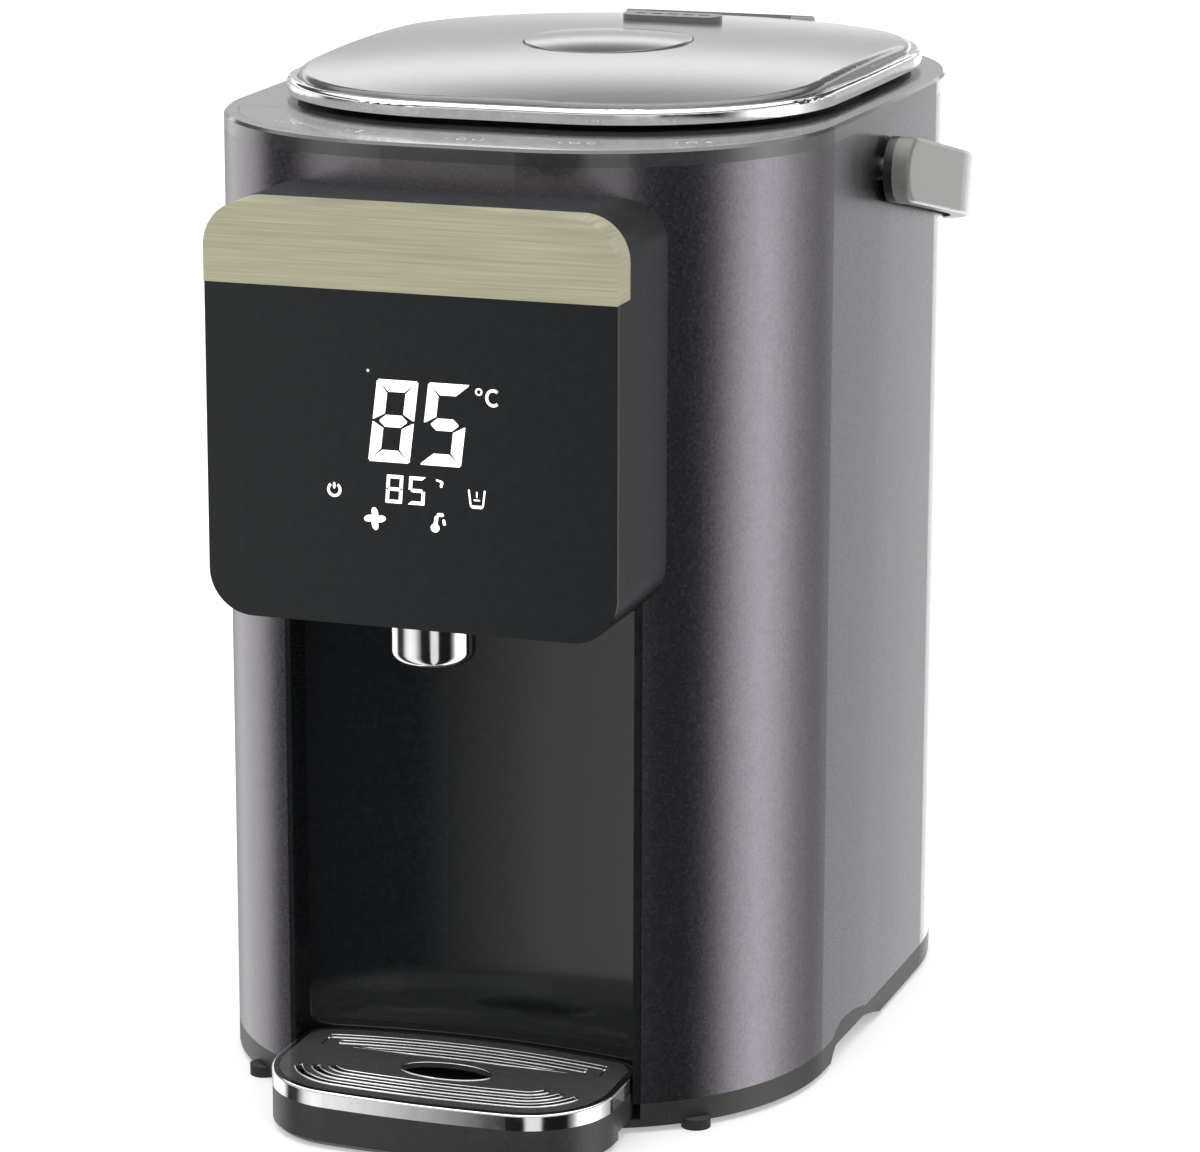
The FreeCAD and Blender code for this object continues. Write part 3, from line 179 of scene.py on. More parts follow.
# One finish per slot: two tones mixed by the grain, a roughness range, the grain's size and how it is drawn out
finishes = {
    "shell_paint": dict(tone=(0.125, 0.112, 0.130), second=(0.165, 0.156, 0.170), metal=0.96,
                        rough=(0.22, 0.28), grain=900, bump=0.02, flake=0.08, wear=0.12, coat=0.12,
                        coatRough=0.16),
    "base_black": dict(tone=(0.010, 0.011, 0.012), second=(0.020, 0.021, 0.023), rough=(0.38, 0.5),
                       grain=1500, bump=0.12, wear=0.2, dust=0.06),
    "rubber_foot": dict(tone=(0.012, 0.012, 0.012), second=(0.022, 0.022, 0.021), rough=(0.7, 0.85),
                        grain=1200, bump=0.2, dust=0.2),
    "screw_steel": dict(tone=(0.45, 0.45, 0.46), second=(0.62, 0.62, 0.63), metal=1, rough=(0.25, 0.4),
                        grain=800, bump=0.05, wear=0.3),
    "inner_plastic": dict(tone=(0.40, 0.40, 0.38), second=(0.50, 0.50, 0.48), rough=(0.45, 0.6),
                          grain=700, bump=0.06, dust=0.1),
    "pump_plastic": dict(tone=(0.020, 0.020, 0.022), second=(0.034, 0.034, 0.037), rough=(0.4, 0.55),
                         grain=900, bump=0.1, wear=0.2, dust=0.1),
    "silicone": dict(tone=(0.62, 0.62, 0.58), second=(0.72, 0.72, 0.69), rough=(0.35, 0.5),
                     grain=500, bump=0.04),
    "stainless": dict(tone=(0.50, 0.50, 0.51), second=(0.64, 0.64, 0.65), metal=1, rough=(0.2, 0.32),
                      grain=160, stretch=(1, 1, 9), bump=0.03),
    "heater_alloy": dict(tone=(0.45, 0.45, 0.46), second=(0.6, 0.6, 0.61), metal=1, rough=(0.35, 0.5),
                         grain=600, bump=0.08),
    "insulation": dict(tone=(0.50, 0.47, 0.38), second=(0.68, 0.66, 0.58), rough=(0.85, 0.98),
                       grain=320, bump=0.9),
    "collar_gloss": dict(tone=(0.030, 0.031, 0.033), second=(0.040, 0.041, 0.044), rough=(0.16, 0.24),
                         grain=500, bump=0.01, coat=0.6, coatRough=0.06, wear=0.1, dust=0.05),
    "key_gloss": dict(tone=(0.016, 0.016, 0.018), second=(0.026, 0.026, 0.028), rough=(0.18, 0.26),
                      grain=600, bump=0.01, coat=0.7, coatRough=0.08, dust=0.06),
    "lid_satin": dict(tone=(0.050, 0.054, 0.052), second=(0.064, 0.068, 0.066), rough=(0.15, 0.19),
                      grain=700, bump=0.012, coat=0.7, coatRough=0.16, wear=0.12, dust=0.04),
    "chrome_trim": dict(tone=(0.78, 0.79, 0.78), second=(0.86, 0.87, 0.86), metal=1, rough=(0.07, 0.13),
                        grain=220, bump=0.01),
    # the handle's root gets a painted shade: near-black nearer the middle than the last value
    "handle_satin": dict(tone=(0.125, 0.123, 0.115), second=(0.160, 0.158, 0.148), rough=(0.30, 0.40),
                         grain=900, bump=0.05, coat=0.1, coatRough=0.25, wear=0.2, dust=0.03, paintedShadeInside=0.1121),
    "head_gloss": dict(tone=(0.006, 0.007, 0.008), second=(0.010, 0.011, 0.012), rough=(0.24, 0.32), shine=0.12,
                       grain=800, bump=0.012, coat=0.08, coatRough=0.12, wear=0.12, dust=0.04),
    "panel_glass": dict(tone=(0.004, 0.005, 0.006), second=(0.007, 0.008, 0.009), rough=(0.14, 0.20),
                        shine=0.4, grain=300, bump=0.006, coat=0.1, coatRough=0.1),
    "band_champagne": dict(tone=(0.36, 0.34, 0.235), second=(0.47, 0.445, 0.32), metal=0.2,
                           rough=(0.32, 0.45), grain=60, stretch=(0.5, 1, 34), bump=0.05),
    "grille_polish": dict(tone=(0.66, 0.67, 0.67), second=(0.74, 0.75, 0.74), metal=0.92, rough=(0.10, 0.16),
                          grain=240, bump=0.012),
    "liner_gloss": dict(tone=(0.006, 0.007, 0.008), second=(0.010, 0.011, 0.012), rough=(0.10, 0.16),
                        shine=0.42, grain=500, bump=0.012, coat=0.15, coatRough=0.05, dust=0.02),
    "lens_clear": dict(tone=(0.85, 0.88, 0.92), second=(0.92, 0.95, 0.98), rough=(0.08, 0.14),
                       grain=300, bump=0.02, glass=0.8),
    "circuit_green": dict(tone=(0.010, 0.11, 0.045), second=(0.016, 0.17, 0.075), rough=(0.28, 0.4),
                          grain=900, bump=0.06, coat=0.4, coatRough=0.15),
    "part_dark": dict(tone=(0.022, 0.022, 0.025), second=(0.045, 0.045, 0.05), rough=(0.4, 0.55),
                      grain=1200, bump=0.1, wear=0.2),
    "brass_pin": dict(tone=(0.62, 0.46, 0.22), second=(0.74, 0.58, 0.31), metal=1, rough=(0.2, 0.34),
                      grain=700, bump=0.04, wear=0.2),
}


def mixColour(tree, amount, first, second):
    node = tree.nodes.new("ShaderNodeMix")
    node.data_type = "RGBA"
    tree.links.new(amount, node.inputs["Factor"])
    for socket, value in ((node.inputs["A"], first), (node.inputs["B"], second)):
        if isinstance(value, tuple):
            socket.default_value = (*value, 1.0)
        else:
            tree.links.new(value, socket)
    return node.outputs["Result"]


def useGroup(tree, key, vector, **values):
    node = tree.nodes.new("ShaderNodeGroup")
    node.node_tree = groups[key]
    tree.links.new(vector, node.inputs["Vector"])
    for label, value in values.items():
        node.inputs[label].default_value = value
    return node


def makeFinish(name, look):
    # tones and roughness follow the grain, then flake, worn edges and dust go over them
    material = bpy.data.materials.new(name)
    material.use_nodes = True
    tree = material.node_tree
    shader = tree.nodes["Principled BSDF"]
    where = tree.nodes.new("ShaderNodeTexCoord").outputs["Object"]
    drawn = tree.nodes.new("ShaderNodeMapping")
    drawn.inputs["Scale"].default_value = look.get("stretch", (1, 1, 1))
    tree.links.new(where, drawn.inputs["Vector"])
    grain = useGroup(tree, "grain", drawn.outputs[0], Scale=float(look["grain"])).outputs["Mask"]
    colour = mixColour(tree, grain, look["tone"], look["second"])
    if look.get("flake"):
        flake = useGroup(tree, "flake", where, Amount=look["flake"])
        colour = mixColour(tree, flake.outputs["Mask"], colour, flake.outputs["Colour"])
    if look.get("wear"):
        worn = useGroup(tree, "wear", where, Amount=look["wear"]).outputs["Mask"]
        bare = tuple(min(1.0, effects["wornGain"] * c + effects["wornLift"]) for c in look["second"])
        colour = mixColour(tree, worn, colour, bare)
    if look.get("paintedShadeInside"):  # painted shade: the grip's part nearer the middle than this and ahead of a set depth is turned near-black, for the shade at its root
        split = tree.nodes.new("ShaderNodeSeparateXYZ")
        tree.links.new(where, split.inputs[0])
        inside = mathNode(tree, "LESS_THAN", mathNode(tree, "ABSOLUTE", split.outputs[0]), look["paintedShadeInside"])
        ahead = mathNode(tree, "LESS_THAN", split.outputs[1], effects["paintedShadeDepth"])
        colour = mixColour(tree, mathNode(tree, "MULTIPLY", inside, ahead), colour, effects["paintedShadeTone"])
    if look.get("dust"):
        dust = useGroup(tree, "dust", where, Amount=look["dust"]).outputs["Mask"]
        colour = mixColour(tree, dust, colour, effects["dustTone"])
    tree.links.new(colour, shader.inputs["Base Color"])
    gloss = tree.nodes.new("ShaderNodeMapRange")
    gloss.inputs["To Min"].default_value, gloss.inputs["To Max"].default_value = look["rough"]
    tree.links.new(grain, gloss.inputs["Value"])
    tree.links.new(gloss.outputs[0], shader.inputs["Roughness"])
    bump = tree.nodes.new("ShaderNodeBump")
    bump.inputs["Strength"].default_value = look["bump"]
    bump.inputs["Distance"].default_value = effects["bumpDistance"]
    tree.links.new(grain, bump.inputs["Height"])
    tree.links.new(bump.outputs[0], shader.inputs["Normal"])
    for label, key, usual in (("Metallic", "metal", 0), ("Specular IOR Level", "shine", 0.5),
                              ("Coat Weight", "coat", 0), ("Coat Roughness", "coatRough", 0.03),
                              ("Transmission Weight", "glass", 0)):
        shader.inputs[label].default_value = look.get(key, usual)
    return material


materials = {name: makeFinish(name, look) for name, look in finishes.items()}
ownFinish = {"drip_tray_grille": "grille_polish"}  # nodes whose finish differs a little from their slot's
for name, node in nodes.items():
    finish = materials[ownFinish.get(name, slotOf[name])]
    for index in range(len(node.data.materials)):
        node.data.materials[index] = finish
    if not node.data.materials:
        node.data.materials.append(finish)
print("finishes on the frame:", len(materials))


# New pieces

def meshPiece(name, verts, faces, material, body, smooth=False):
    mesh = bpy.data.meshes.new(name)
    mesh.from_pydata(verts, [], faces)
    mesh.materials.append(material)
    mesh.polygons.foreach_set("use_smooth", [smooth] * len(mesh.polygons))
    mesh.update()
    piece = bpy.data.objects.new(name, mesh)
    bpy.context.scene.collection.objects.link(piece)
    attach(piece, body)
    return piece


def gridFaces(rows, columns, closeRows=False, closeColumns=False):
    # four-sided faces between the neighbours of a grid of points, rows first
    i, j = np.meshgrid(np.arange(rows if closeRows else rows - 1),
                       np.arange(columns if closeColumns else columns - 1), indexing="ij")
    i, j = i.ravel(), j.ravel()
    nextRow, nextColumn = (i + 1) % rows, (j + 1) % columns
    return np.stack([i * columns + j, i * columns + nextColumn, nextRow * columns + nextColumn,
                     nextRow * columns + j], axis=1)


# The lit display and the legends of the touch keys are flat ribbons laid just proud of their surface

ribbon = {"linePoints": 13, "arcPoints": 25, "blobPoints": 15, "barEnd": 0.12}


def stroke(points, left, right):
    # a flat ribbon: each point of the path is moved along the path's own normal by left and by right
    points = np.asarray(points, float)
    along = np.gradient(points, axis=0)
    along /= np.linalg.norm(along, axis=1, keepdims=True)
    normal = np.stack([-along[:, 1], along[:, 0]], axis=1)
    left = np.broadcast_to(left, len(points))[:, None]
    right = np.broadcast_to(right, len(points))[:, None]
    return points + normal * left, points - normal * right


def line(start, end, width):
    # a straight stroke with round ends: the half width follows a circle near each end
    t = 0.5 - 0.5 * np.cos(np.linspace(0, np.pi, ribbon["linePoints"]))
    path = np.outer(1 - t, start) + np.outer(t, end)
    length = np.linalg.norm(np.subtract(end, start))
    reach = np.clip(np.minimum(t, 1 - t) * length / (width / 2), 0, 1)
    half = width / 2 * np.sqrt(1 - (1 - reach) ** 2)
    return stroke(path, half, half)


def arc(centre, radius, start, end, width, squash=1.0):
    # a stroke of even width round part of a circle, angles in degrees
    angle = np.radians(np.linspace(start, end, ribbon["arcPoints"]))
    path = np.stack([centre[0] + radius * np.cos(angle), centre[1] + radius * squash * np.sin(angle)], axis=1)
    return stroke(path, width / 2, width / 2)


def blob(centre, long, short, turn):
    # a filled ellipse as a ribbon along its long axis, turned by an angle in degrees
    t = np.cos(np.linspace(np.pi, 0, ribbon["blobPoints"]))
    direction = np.array([math.cos(math.radians(turn)), math.sin(math.radians(turn))])
    path = np.asarray(centre) + np.outer(t * long / 2, direction)
    half = short / 2 * np.sqrt(1 - t ** 2)
    return stroke(path, half, half)


def segments(shown, corner, size):
    # bars of a seven-bar digit: each is a ribbon between its two tips, its sides on the digit's edge or middle
    wide, tall, thick, gap = size["wide"], size["tall"], size["thick"], size["gap"]
    half = thick / 2
    bars = {  # start, end, width to the left, width to the right
        "a": ((gap, tall), (wide - gap, tall), 0, thick),
        "g": ((half + gap, tall / 2), (wide - half - gap, tall / 2), half, half),
        "d": ((gap, 0), (wide - gap, 0), thick, 0),
        "f": ((0, tall / 2 + gap), (0, tall - gap), 0, thick),
        "e": ((0, gap), (0, tall / 2 - gap), 0, thick),
        "b": ((wide, tall / 2 + gap), (wide, tall - gap), thick, 0),
        "c": ((wide, gap), (wide, tall / 2 - gap), thick, 0)}
    slope = math.tan(math.radians(size["lean"]))
    narrow = np.array([ribbon["barEnd"], 1, 1, 1, ribbon["barEnd"]])
    placed = []
    for key in shown:
        start, end, left, right = bars[key]
        start, end = np.array(start, float), np.array(end, float)
        length = np.linalg.norm(end - start)
        mitre = thick if key in "ad" else half
        reach = np.array([0, mitre, length / 2, length - mitre, length]) / length
        if key in "bcef":  # the end at the digit's middle is a point, the other a full mitre
            reach = np.array([0, half, length / 2, length - thick, length]) / length
            if key in "ce":
                reach = 1 - reach[::-1]
        path = start + np.outer(reach, end - start)
        sides = stroke(path, left * narrow, right * narrow)
        placed.append(tuple(np.stack([corner[0] + side[:, 0] + side[:, 1] * slope, corner[1] + side[:, 1]],
                                     axis=1) for side in sides))
    return placed


def marks(name, strokes, toPlace, material, body):
    # all ribbons of one legend in one mesh, each two points wide, laid on a surface by toPlace
    verts, faces, count = [], [], 0
    for one, two in strokes:
        flat = np.stack([one, two], axis=1).reshape(-1, 2)
        verts.append(toPlace(flat[:, 0], flat[:, 1]))
        faces.append(gridFaces(len(one), 2)[:, ::-1] + count)
        count += len(flat)
    return meshPiece(name, np.concatenate(verts), np.concatenate(faces).tolist(), material, body)


# the printed grey legends of the touch keys also get a painted glow of their own
glows = {"litWhite": {"tone": (0.95, 0.97, 0.96), "strength": 1.0, "dim": 0.93},
         "litSoft": {"tone": (0.62, 0.64, 0.63), "strength": 0.6, "dim": 0.8},
         "printedGreyPaintedGlow": {"tone": (0.62, 0.63, 0.61), "strength": 0.4, "dim": 0.7},
         "cloud": 420.0, "rough": 0.4}


def makeGlow(name):
    # lit legend: the light is a little uneven across a mark, as behind a diffuser; the touch keys' grey print
    # is made to glow the same way, a painted glow
    glow = glows[name]
    material = bpy.data.materials.new(name)
    material.use_nodes = True
    tree = material.node_tree
    shader = tree.nodes["Principled BSDF"]
    where = tree.nodes.new("ShaderNodeTexCoord").outputs["Object"]
    cloud = useGroup(tree, "grain", where, Scale=glows["cloud"]).outputs["Mask"]
    tone = mixColour(tree, cloud, tuple(c * glow["dim"] for c in glow["tone"]), glow["tone"])
    tree.links.new(tone, shader.inputs["Emission Color"])
    tree.links.new(tone, shader.inputs["Base Color"])
    shader.inputs["Emission Strength"].default_value = glow["strength"]
    shader.inputs["Roughness"].default_value = glows["rough"]
    return material


litWhite, litSoft, printedGreyPaintedGlow = (makeGlow(name) for name in ("litWhite", "litSoft", "printedGreyPaintedGlow"))

display = {"front": -40.3, "lift": 0.05, "bars": ("abcdefg", "acdfg"),  # bars of the digits 8 and 5
           "big": {"foot": (-13.9, 233.8), "step": 17.3, "wide": 14.0, "tall": 26.7, "thick": 3.9, "gap": 0.45,
                   "lean": 7.0},
           "small": {"foot": (-8.2, 220.6), "step": 7.6, "wide": 5.6, "tall": 9.2, "thick": 1.15, "gap": 0.12,
                     "lean": 4.0},
           "fan": (-11.8, 215.1), "fanReach": 1.9, "fanLong": 3.7, "fanShort": 2.2, "fanSkew": 14}


def onPanel(x, z):
    return place(x, display["front"] - display["lift"], z)


def digits(size):
    x, z = size["foot"]
    return [bar for index, shown in enumerate(display["bars"])
            for bar in segments(shown, (x + index * size["step"], z), size)]


def fanBlade(turn):
    x, z = display["fan"]
    x += display["fanReach"] * math.cos(math.radians(turn))
    z += display["fanReach"] * math.sin(math.radians(turn))
    return blob((x, z), display["fanLong"], display["fanShort"], turn + display["fanSkew"])


marks("display_digits", digits(display["big"]), onPanel, litWhite, "pot")
marks("display_small_digits", digits(display["small"]), onPanel, litWhite, "pot")
icons = [arc((-25.6, 223.6), 2.0, 125, 415, 0.9), line((-25.6, 223.9), (-25.6, 226.0), 0.8)]  # power sign
icons += [fanBlade(turn) for turn in (0, 90, 180, 270)]
icons += [blob((8.6, 213.6), 3.0, 2.9, 0), line((8.6, 214.0), (9.2, 217.6), 1.3),
          line((9.2, 217.9), (11.6, 218.0), 1.2), line((11.4, 216.6), (11.9, 214.6), 1.0)]  # thermometer
icons += [line((20.0, 227.0), (20.7, 221.4), 0.6), line((25.4, 227.0), (24.7, 221.4), 0.6),
          line((20.7, 221.4), (24.7, 221.4), 1.0), line((21.6, 223.6), (23.8, 223.6), 0.5),
          line((22.7, 224.4), (22.7, 226.4), 0.5)]  # cup with a level
icons += [arc((23.5, 258.5), 0.95, 0, 360, 0.55), arc((28.3, 256.8), 2.15, 50, 310, 0.95, 1.12)]  # degrees C
icons += [line((9.0, 229.2), (11.2, 228.6), 0.7), line((11.2, 228.8), (10.6, 226.8), 0.9)]  # tick of the digits
marks("display_icons", icons, onPanel, litWhite, "pot")
marks("display_dot", [blob((-13.7, 263.0), 1.0, 1.0, 0)], onPanel, litSoft, "pot")
print("display laid out")

touch = {"deck": 330.0, "lift": 0.05,
         "places": ((-66.0, 26.0), (-35.0, 14.5), (2.0, 10.0), (39.0, 14.0), (74.0, 27.5)),
         "turns": (-24.0, -12.0, 0.0, 12.0, 24.0)}
keyDot = blob((-7.2, 0), 1.1, 1.1, 0)
keyPictures = (
    [arc((-2.5, 0.1), 1.7, 125, 415, 0.5), line((-2.5, 0.2), (-2.5, 2.2), 0.5),
     arc((3.0, 0), 1.6, 0, 360, 0.45)],  # power
    [line((-2.5, -1.4), (-2.5, 2.1), 0.9), blob((-2.5, -1.5), 1.8, 1.8, 0),
     line((1.6, -1.2), (4.6, -1.2), 0.5), line((1.6, 1.2), (4.6, 1.2), 0.5)],  # thermometer
    [arc((-2.2, -0.6), 1.5, -200, 20, 0.5), line((-3.6, 0.2), (-2.2, 2.3), 0.5),
     line((-0.8, 0.2), (-2.2, 2.3), 0.5), line((1.4, 1.5), (2.0, -1.5), 0.5),
     line((4.8, 1.5), (4.2, -1.5), 0.5), line((2.0, -1.5), (4.2, -1.5), 0.5)],  # drop and cup
    [line((-4.0, 1.6), (-3.4, -1.6), 0.5), line((-0.6, 1.6), (-1.2, -1.6), 0.5),
     line((-3.4, -1.6), (-1.2, -1.6), 0.6), line((-3.6, 0.0), (-1.0, 0.0), 0.4),
     arc((3.2, 0), 1.5, 30, 330, 0.45)],  # cup with a level
    [line((-3.8, -1.4), (-0.8, -1.4), 0.6), line((-3.8, 0.5), (-0.8, 0.5), 0.6),
     line((-3.8, -1.4), (-3.8, 0.5), 0.6), line((-0.8, -1.4), (-0.8, 0.5), 0.6),
     arc((-2.3, 0.5), 1.1, 0, 180, 0.5), blob((3.2, 0), 1.6, 2.4, 90)])  # lock


def onDeck(middle, turn):
    # a key's own plane, turned about the key's middle on the deck
    c, s = math.cos(math.radians(turn)), math.sin(math.radians(turn))
    level = touch["deck"] + touch["lift"]
    return lambda u, v: place(middle[0] + u * c - v * s, middle[1] + u * s + v * c, level)


# the legends on the deck are print with a painted glow
for index, (middle, turn, picture) in enumerate(zip(touch["places"], touch["turns"], keyPictures)):
    marks(f"touch_legend_{index + 1}", [keyDot] + picture, onDeck(middle, turn), printedGreyPaintedGlow,
          "pot")
print("touch legends laid out")

# Wound coils stand in for the plain spring solids

springs = {"button_spring": {"joint": "lid_button", "along": 2, "held": "low", "wire": 0.4, "turns": 6.0},
           "latch_spring": {"joint": "latch_slide", "along": 1, "held": "high", "wire": 0.35, "turns": 7.0},
           "travel": 3.0, "least": 0.1, "perTurn": 28, "around": 10,
           "aside": (0.0, 0.3, 1.0), "asideUpright": (1.0, 0.2, 0.0)}


def coil(replaced, spring):
    # helix from the held end to the moving end: the wire's circle goes round the axis; the end turns lie flat
    low, high = (np.array(corner) * 1000.0 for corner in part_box(replaced))
    low[1] += midDepth
    high[1] += midDepth
    size, along, wire, turns = high - low, spring["along"], spring["wire"], spring["turns"]
    foot, tip = (low + high) / 2, (low + high) / 2
    ends = (low[along], high[along])
    foot[along], tip[along] = ends if spring["held"] == "low" else ends[::-1]
    radius = min(np.delete(size, along)) / 2 - wire
    axis = tip - foot
    length = np.linalg.norm(axis)
    axis /= length
    side = np.cross(axis, springs["aside"] if abs(axis[2]) < 0.9 else springs["asideUpright"])
    side /= np.linalg.norm(side)
    other = np.cross(axis, side)
    steps, around = int(turns * springs["perTurn"]), springs["around"]
    t = np.linspace(0, 1, steps)
    angle = 2 * np.pi * turns * t
    rise = (length - 2 * wire) * np.clip((t * turns - 1) / (turns - 2), 0, 1) + wire
    radial = np.cos(angle)[:, None] * side + np.sin(angle)[:, None] * other
    centre = foot + radial * radius + rise[:, None] * axis
    phi = np.linspace(0, 2 * np.pi, around, endpoint=False)
    ring = (radial[:, None, :] * np.cos(phi)[None, :, None] + axis * np.sin(phi)[None, :, None]) * wire
    flat = (centre[:, None, :] + ring).reshape(-1, 3)
    faces = gridFaces(steps, around, closeColumns=True).tolist()
    faces += [list(range(around))[::-1], [(steps - 1) * around + i for i in range(around)]]
    piece = meshPiece(f"{replaced}_coil", place(flat[:, 0], flat[:, 1], flat[:, 2]), faces,
                      materials["stainless"], "lid", smooth=True)
    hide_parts(replaced)
    tuple(place(*foot))
    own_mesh(piece)


for name in ("button_spring", "latch_spring"):
    coil(name, springs[name])
print("spring coils wound")

# The drip plate's slots have rolled rims that stand a little proud of it

tray = {"half": 59.8, "front": -43.0, "face": 420.0, "frontRound": 30.0, "rearRound": 12.0, "rear": 24.2,
        "bow": 7.0, "top": 20.0, "rim": 2.4, "start": 5.5, "pitch": 5.6, "width": 2.6, "rows": 3,
        "frontLimit": -19.0, "rearLimit": 2.0, "far": 99.0, "end": 50.0, "wire": 0.42, "flat": 0.7, "around": 8,
        "drain": (-10.0, 16.0, 7.5), "drainPoints": 72, "leastRound": 0.6, "leastStep": 1e-4,
        "sweepPoints": 60, "cornerPoints": 40}


def trayOutline(inset):
    # right half of the outline drawn in by inset, front middle to rear middle: arc, corner, side, corner, arc
    half, front, rear = tray["half"] - inset, tray["front"] + inset, tray["rear"] - inset
    face = tray["face"] - inset
    nearRound = max(tray["frontRound"] - inset, tray["leastRound"])
    farRound = max(tray["rearRound"] - inset, tray["leastRound"])
    rearFace = (tray["half"] ** 2 + tray["bow"] ** 2) / (2 * tray["bow"]) - inset
    nearX, farX = half - nearRound, half - farRound
    nearY = front + face - math.sqrt((face - nearRound) ** 2 - nearX ** 2)
    farY = rear - rearFace + math.sqrt((rearFace - farRound) ** 2 - farX ** 2)
    lean = math.asin(nearX / (face - nearRound))
    tilt = math.asin(farX / (rearFace - farRound))
    a = np.linspace(0, lean, tray["sweepPoints"])
    b = np.linspace(lean, math.pi / 2, tray["cornerPoints"])
    c = np.linspace(math.pi / 2, tilt, tray["cornerPoints"])
    d = np.linspace(tilt, 0, tray["sweepPoints"])
    x = np.concatenate([face * np.sin(a), nearX + nearRound * np.sin(b), farX + farRound * np.sin(c),
                        rearFace * np.sin(d)])
    y = np.concatenate([front + face - face * np.cos(a), nearY - nearRound * np.cos(b),
                        farY + farRound * np.cos(c), rear - rearFace + rearFace * np.cos(d)])
    return x, y


def slotRun(inset, end, low, high):
    # the part of the whole outline between two depths and two sides, from left to right
    x, y = trayOutline(inset)
    keep = (x <= end) & (y >= low) & (y <= high)
    x, y = x[keep], y[keep]
    order = np.argsort(x)
    x, y = x[order], y[order]
    return np.concatenate([-x[::-1], x]), np.concatenate([y[::-1], y])


def closedTube(x, y):
    # a ring of the wire is carried round a closed path that lies flat
    path = np.stack([x, y], axis=1)
    path = path[np.linalg.norm(path - np.roll(path, 1, axis=0), axis=1) > tray["leastStep"]]
    along = np.roll(path, -1, axis=0) - np.roll(path, 1, axis=0)
    along /= np.linalg.norm(along, axis=1, keepdims=True) + 1e-12
    side = np.stack([along[:, 1], -along[:, 0]], axis=1)
    phi = np.linspace(0, 2 * np.pi, tray["around"], endpoint=False)
    px = path[:, None, 0] + tray["wire"] * side[:, None, 0] * np.cos(phi)
    py = path[:, None, 1] + tray["wire"] * side[:, None, 1] * np.cos(phi)
    pz = tray["top"] + tray["wire"] * tray["flat"] * np.sin(phi) + np.zeros_like(px)
    return (place(px.ravel(), py.ravel(), pz.ravel()),
            gridFaces(len(path), tray["around"], closeRows=True, closeColumns=True))


loops = []
for row in range(tray["rows"]):
    outer = tray["rim"] + tray["start"] + row * tray["pitch"]
    end = tray["end"] - row * tray["pitch"]
    nearLimit = tray["frontLimit"] + row * tray["pitch"] / 4
    for low, high in ((-tray["far"], nearLimit), (tray["rearLimit"], tray["far"])):
        ox, oy = slotRun(outer, end, low, high)
        ix, iy = slotRun(outer + tray["width"], end, low, high)
        loops.append((np.concatenate([ox, ix[::-1]]), np.concatenate([oy, iy[::-1]])))
drainY, drainX, drainDeep = tray["drain"]
turnRound = np.linspace(0, 2 * np.pi, tray["drainPoints"], endpoint=False)
loops.append((drainX * np.cos(turnRound), drainY + drainDeep * np.sin(turnRound)))
verts, faces, count = [], [], 0
for x, y in loops:
    ring, quads = closedTube(x, y)
    verts.append(ring)
    faces.append(quads + count)
    count += len(ring)
meshPiece("grille_slot_rims", np.concatenate(verts), np.concatenate(faces).tolist(), materials["chrome_trim"],
          "grille", smooth=True)
print("drip plate rims laid")

# Studio: pale floor, white room to the camera, soft panels of light for the reflections
# Each panel is a share of the full turn (0.5 is straight in front, 0.75 the right) and how bright it is
# Each height is where a belt of the room starts and ends its rise as a direction climbs, and how bright it is

studio = {"floorSize": 14.0, "floorPoints": 9, "floorTone": (0.90, 0.90, 0.895),
          "floorSecond": (0.915, 0.915, 0.91), "floorCloud": 3.0, "floorRough": 0.9, "floorGlow": 0.35,
          "roomLight": 0.80,
          "heights": ((-0.06, 0.10, 0.60), (0.17, 0.21, 2.0), (0.250, 0.295, 0.08), (0.50, 0.60, 1.5)),
          "panels": ((0.000, 4.0), (0.025, 2.2), (0.053, 0.9), (0.103, 0.5), (0.150, 1.4), (0.215, 1.5),
                     (0.238, 0.9), (0.256, 0.03), (0.306, 0.05), (0.340, 0.9), (0.375, 1.2), (0.417, 1.0),
                     (0.441, 0.5), (0.455, 0.3), (0.468, 0.02), (0.532, 0.010), (0.544, 0.9), (0.590, 0.9),
                     (0.602, 0.012), (0.690, 0.010), (0.712, 0.35), (0.745, 1.7), (0.782, 2.7), (0.815, 1.9),
                     (0.845, 1.0), (0.890, 0.50), (0.935, 0.45), (0.957, 0.75), (0.978, 2.4), (1.000, 4.0)),
          "softbox": {"place": (0.0, 0.1, 2.2), "aim": (0, 0, 0.2), "size": (2.4, 2.4), "power": 26}}

floorMaterial = bpy.data.materials.new("paleFloor")
floorMaterial.use_nodes = True
floorTree = floorMaterial.node_tree
floorShader = floorTree.nodes["Principled BSDF"]
floorWhere = floorTree.nodes.new("ShaderNodeTexCoord").outputs["Object"]
floorCloud = useGroup(floorTree, "grain", floorWhere, Scale=studio["floorCloud"]).outputs["Mask"]
floorTree.links.new(mixColour(floorTree, floorCloud, studio["floorTone"], studio["floorSecond"]),
                    floorShader.inputs["Base Color"])
floorShader.inputs["Roughness"].default_value = studio["floorRough"]
floorShader.inputs["Emission Color"].default_value = (1, 1, 1, 1)
floorShader.inputs["Emission Strength"].default_value = studio["floorGlow"]
reach = np.linspace(-studio["floorSize"], studio["floorSize"], studio["floorPoints"])
u, v = np.meshgrid(reach, reach, indexing="ij")
floorFaces = gridFaces(len(reach), len(reach))[:, ::-1].tolist()
floorMesh = bpy.data.meshes.new("floor")
floorMesh.from_pydata(np.stack([u.ravel(), v.ravel(), np.zeros(u.size)], axis=1), [], floorFaces)
floorMesh.materials.append(floorMaterial)
floor = bpy.data.objects.new("floor", floorMesh)
bpy.context.scene.collection.objects.link(floor)
floor.visible_glossy = False


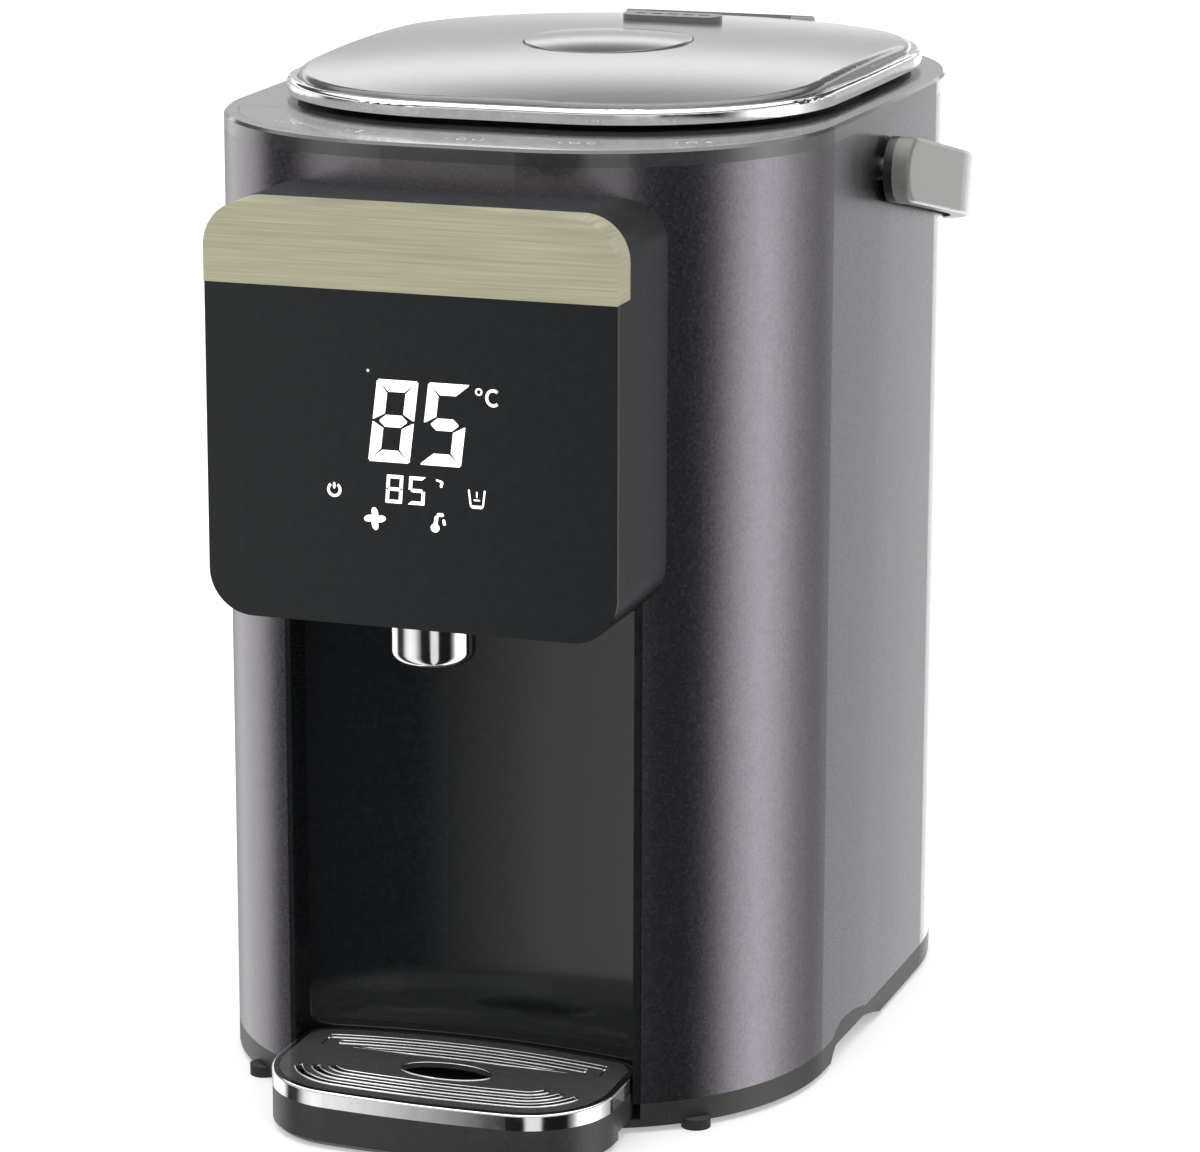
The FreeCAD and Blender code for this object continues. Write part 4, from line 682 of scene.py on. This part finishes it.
def rising(tree, height, start, end):
    # a smooth step from 0 to 1 as a direction climbs from one height to another
    step = tree.nodes.new("ShaderNodeMapRange")
    step.interpolation_type = "SMOOTHSTEP"
    step.inputs["From Min"].default_value = start
    step.inputs["From Max"].default_value = end
    tree.links.new(height, step.inputs["Value"])
    return step.outputs[0]


world = bpy.data.worlds.new("studio")
world.use_nodes = True
bpy.context.scene.world = world
room = world.node_tree
ray = room.nodes.new("ShaderNodeLightPath")
heading = room.nodes.new("ShaderNodeSeparateXYZ")
room.links.new(room.nodes.new("ShaderNodeTexCoord").outputs["Generated"], heading.inputs[0])
turn = mathNode(room, "ARCTAN2", heading.outputs[0], mathNode(room, "MULTIPLY", heading.outputs[1], -1.0))
share = mathNode(room, "ADD", mathNode(room, "DIVIDE", turn, 2 * math.pi), 0.5)
panels = room.nodes.new("ShaderNodeValToRGB")
stops = panels.color_ramp.elements
while len(stops) < len(studio["panels"]):
    stops.new(0.5)
for stop, (position, _) in zip(stops, studio["panels"]):
    stop.position = position
for stop, (_, level) in zip(stops, studio["panels"]):
    stop.color = (level, level, level, 1)
room.links.new(share, panels.inputs["Fac"])
glow = panels.outputs["Color"]
for start, end, level in studio["heights"]:
    glow = mixColour(room, rising(room, heading.outputs[2], start, end), glow, (level,) * 3)
glow = mixColour(room, ray.outputs["Is Diffuse Ray"], glow, (studio["roomLight"],) * 3)
glow = mixColour(room, ray.outputs["Is Camera Ray"], glow, (1.0, 1.0, 1.0))
room.links.new(glow, room.nodes["Background"].inputs["Color"])


def aimAt(item, position, target):
    item.location = position
    item.rotation_euler = (Vector(target) - Vector(position)).to_track_quat("-Z", "Y").to_euler()
    bpy.context.scene.collection.objects.link(item)


softbox = studio["softbox"]
light = bpy.data.lights.new("topSoftbox", "AREA")
light.shape = "RECTANGLE"
light.size, light.size_y = softbox["size"]
light.energy = softbox["power"]
lamp = bpy.data.objects.new("topSoftbox", light)
lamp.visible_camera = False
aimAt(lamp, softbox["place"], softbox["aim"])

view = {"place": (0.5045, -1.4935, 0.5478), "aim": (0.0, -0.0283, 0.1675), "lens": 137.0, "sensor": 36.0,
        "shift": (0.0314, -0.0121)}
lens = bpy.data.cameras.new("photoView")
lens.lens = view["lens"]
lens.sensor_width = view["sensor"]
lens.sensor_fit = "HORIZONTAL"
lens.shift_x, lens.shift_y = view["shift"]
camera = bpy.data.objects.new("photoView", lens)
aimAt(camera, view["place"], view["aim"])
bpy.context.scene.camera = camera
bpy.context.scene.view_settings.view_transform = "Standard"
print("studio and camera set")
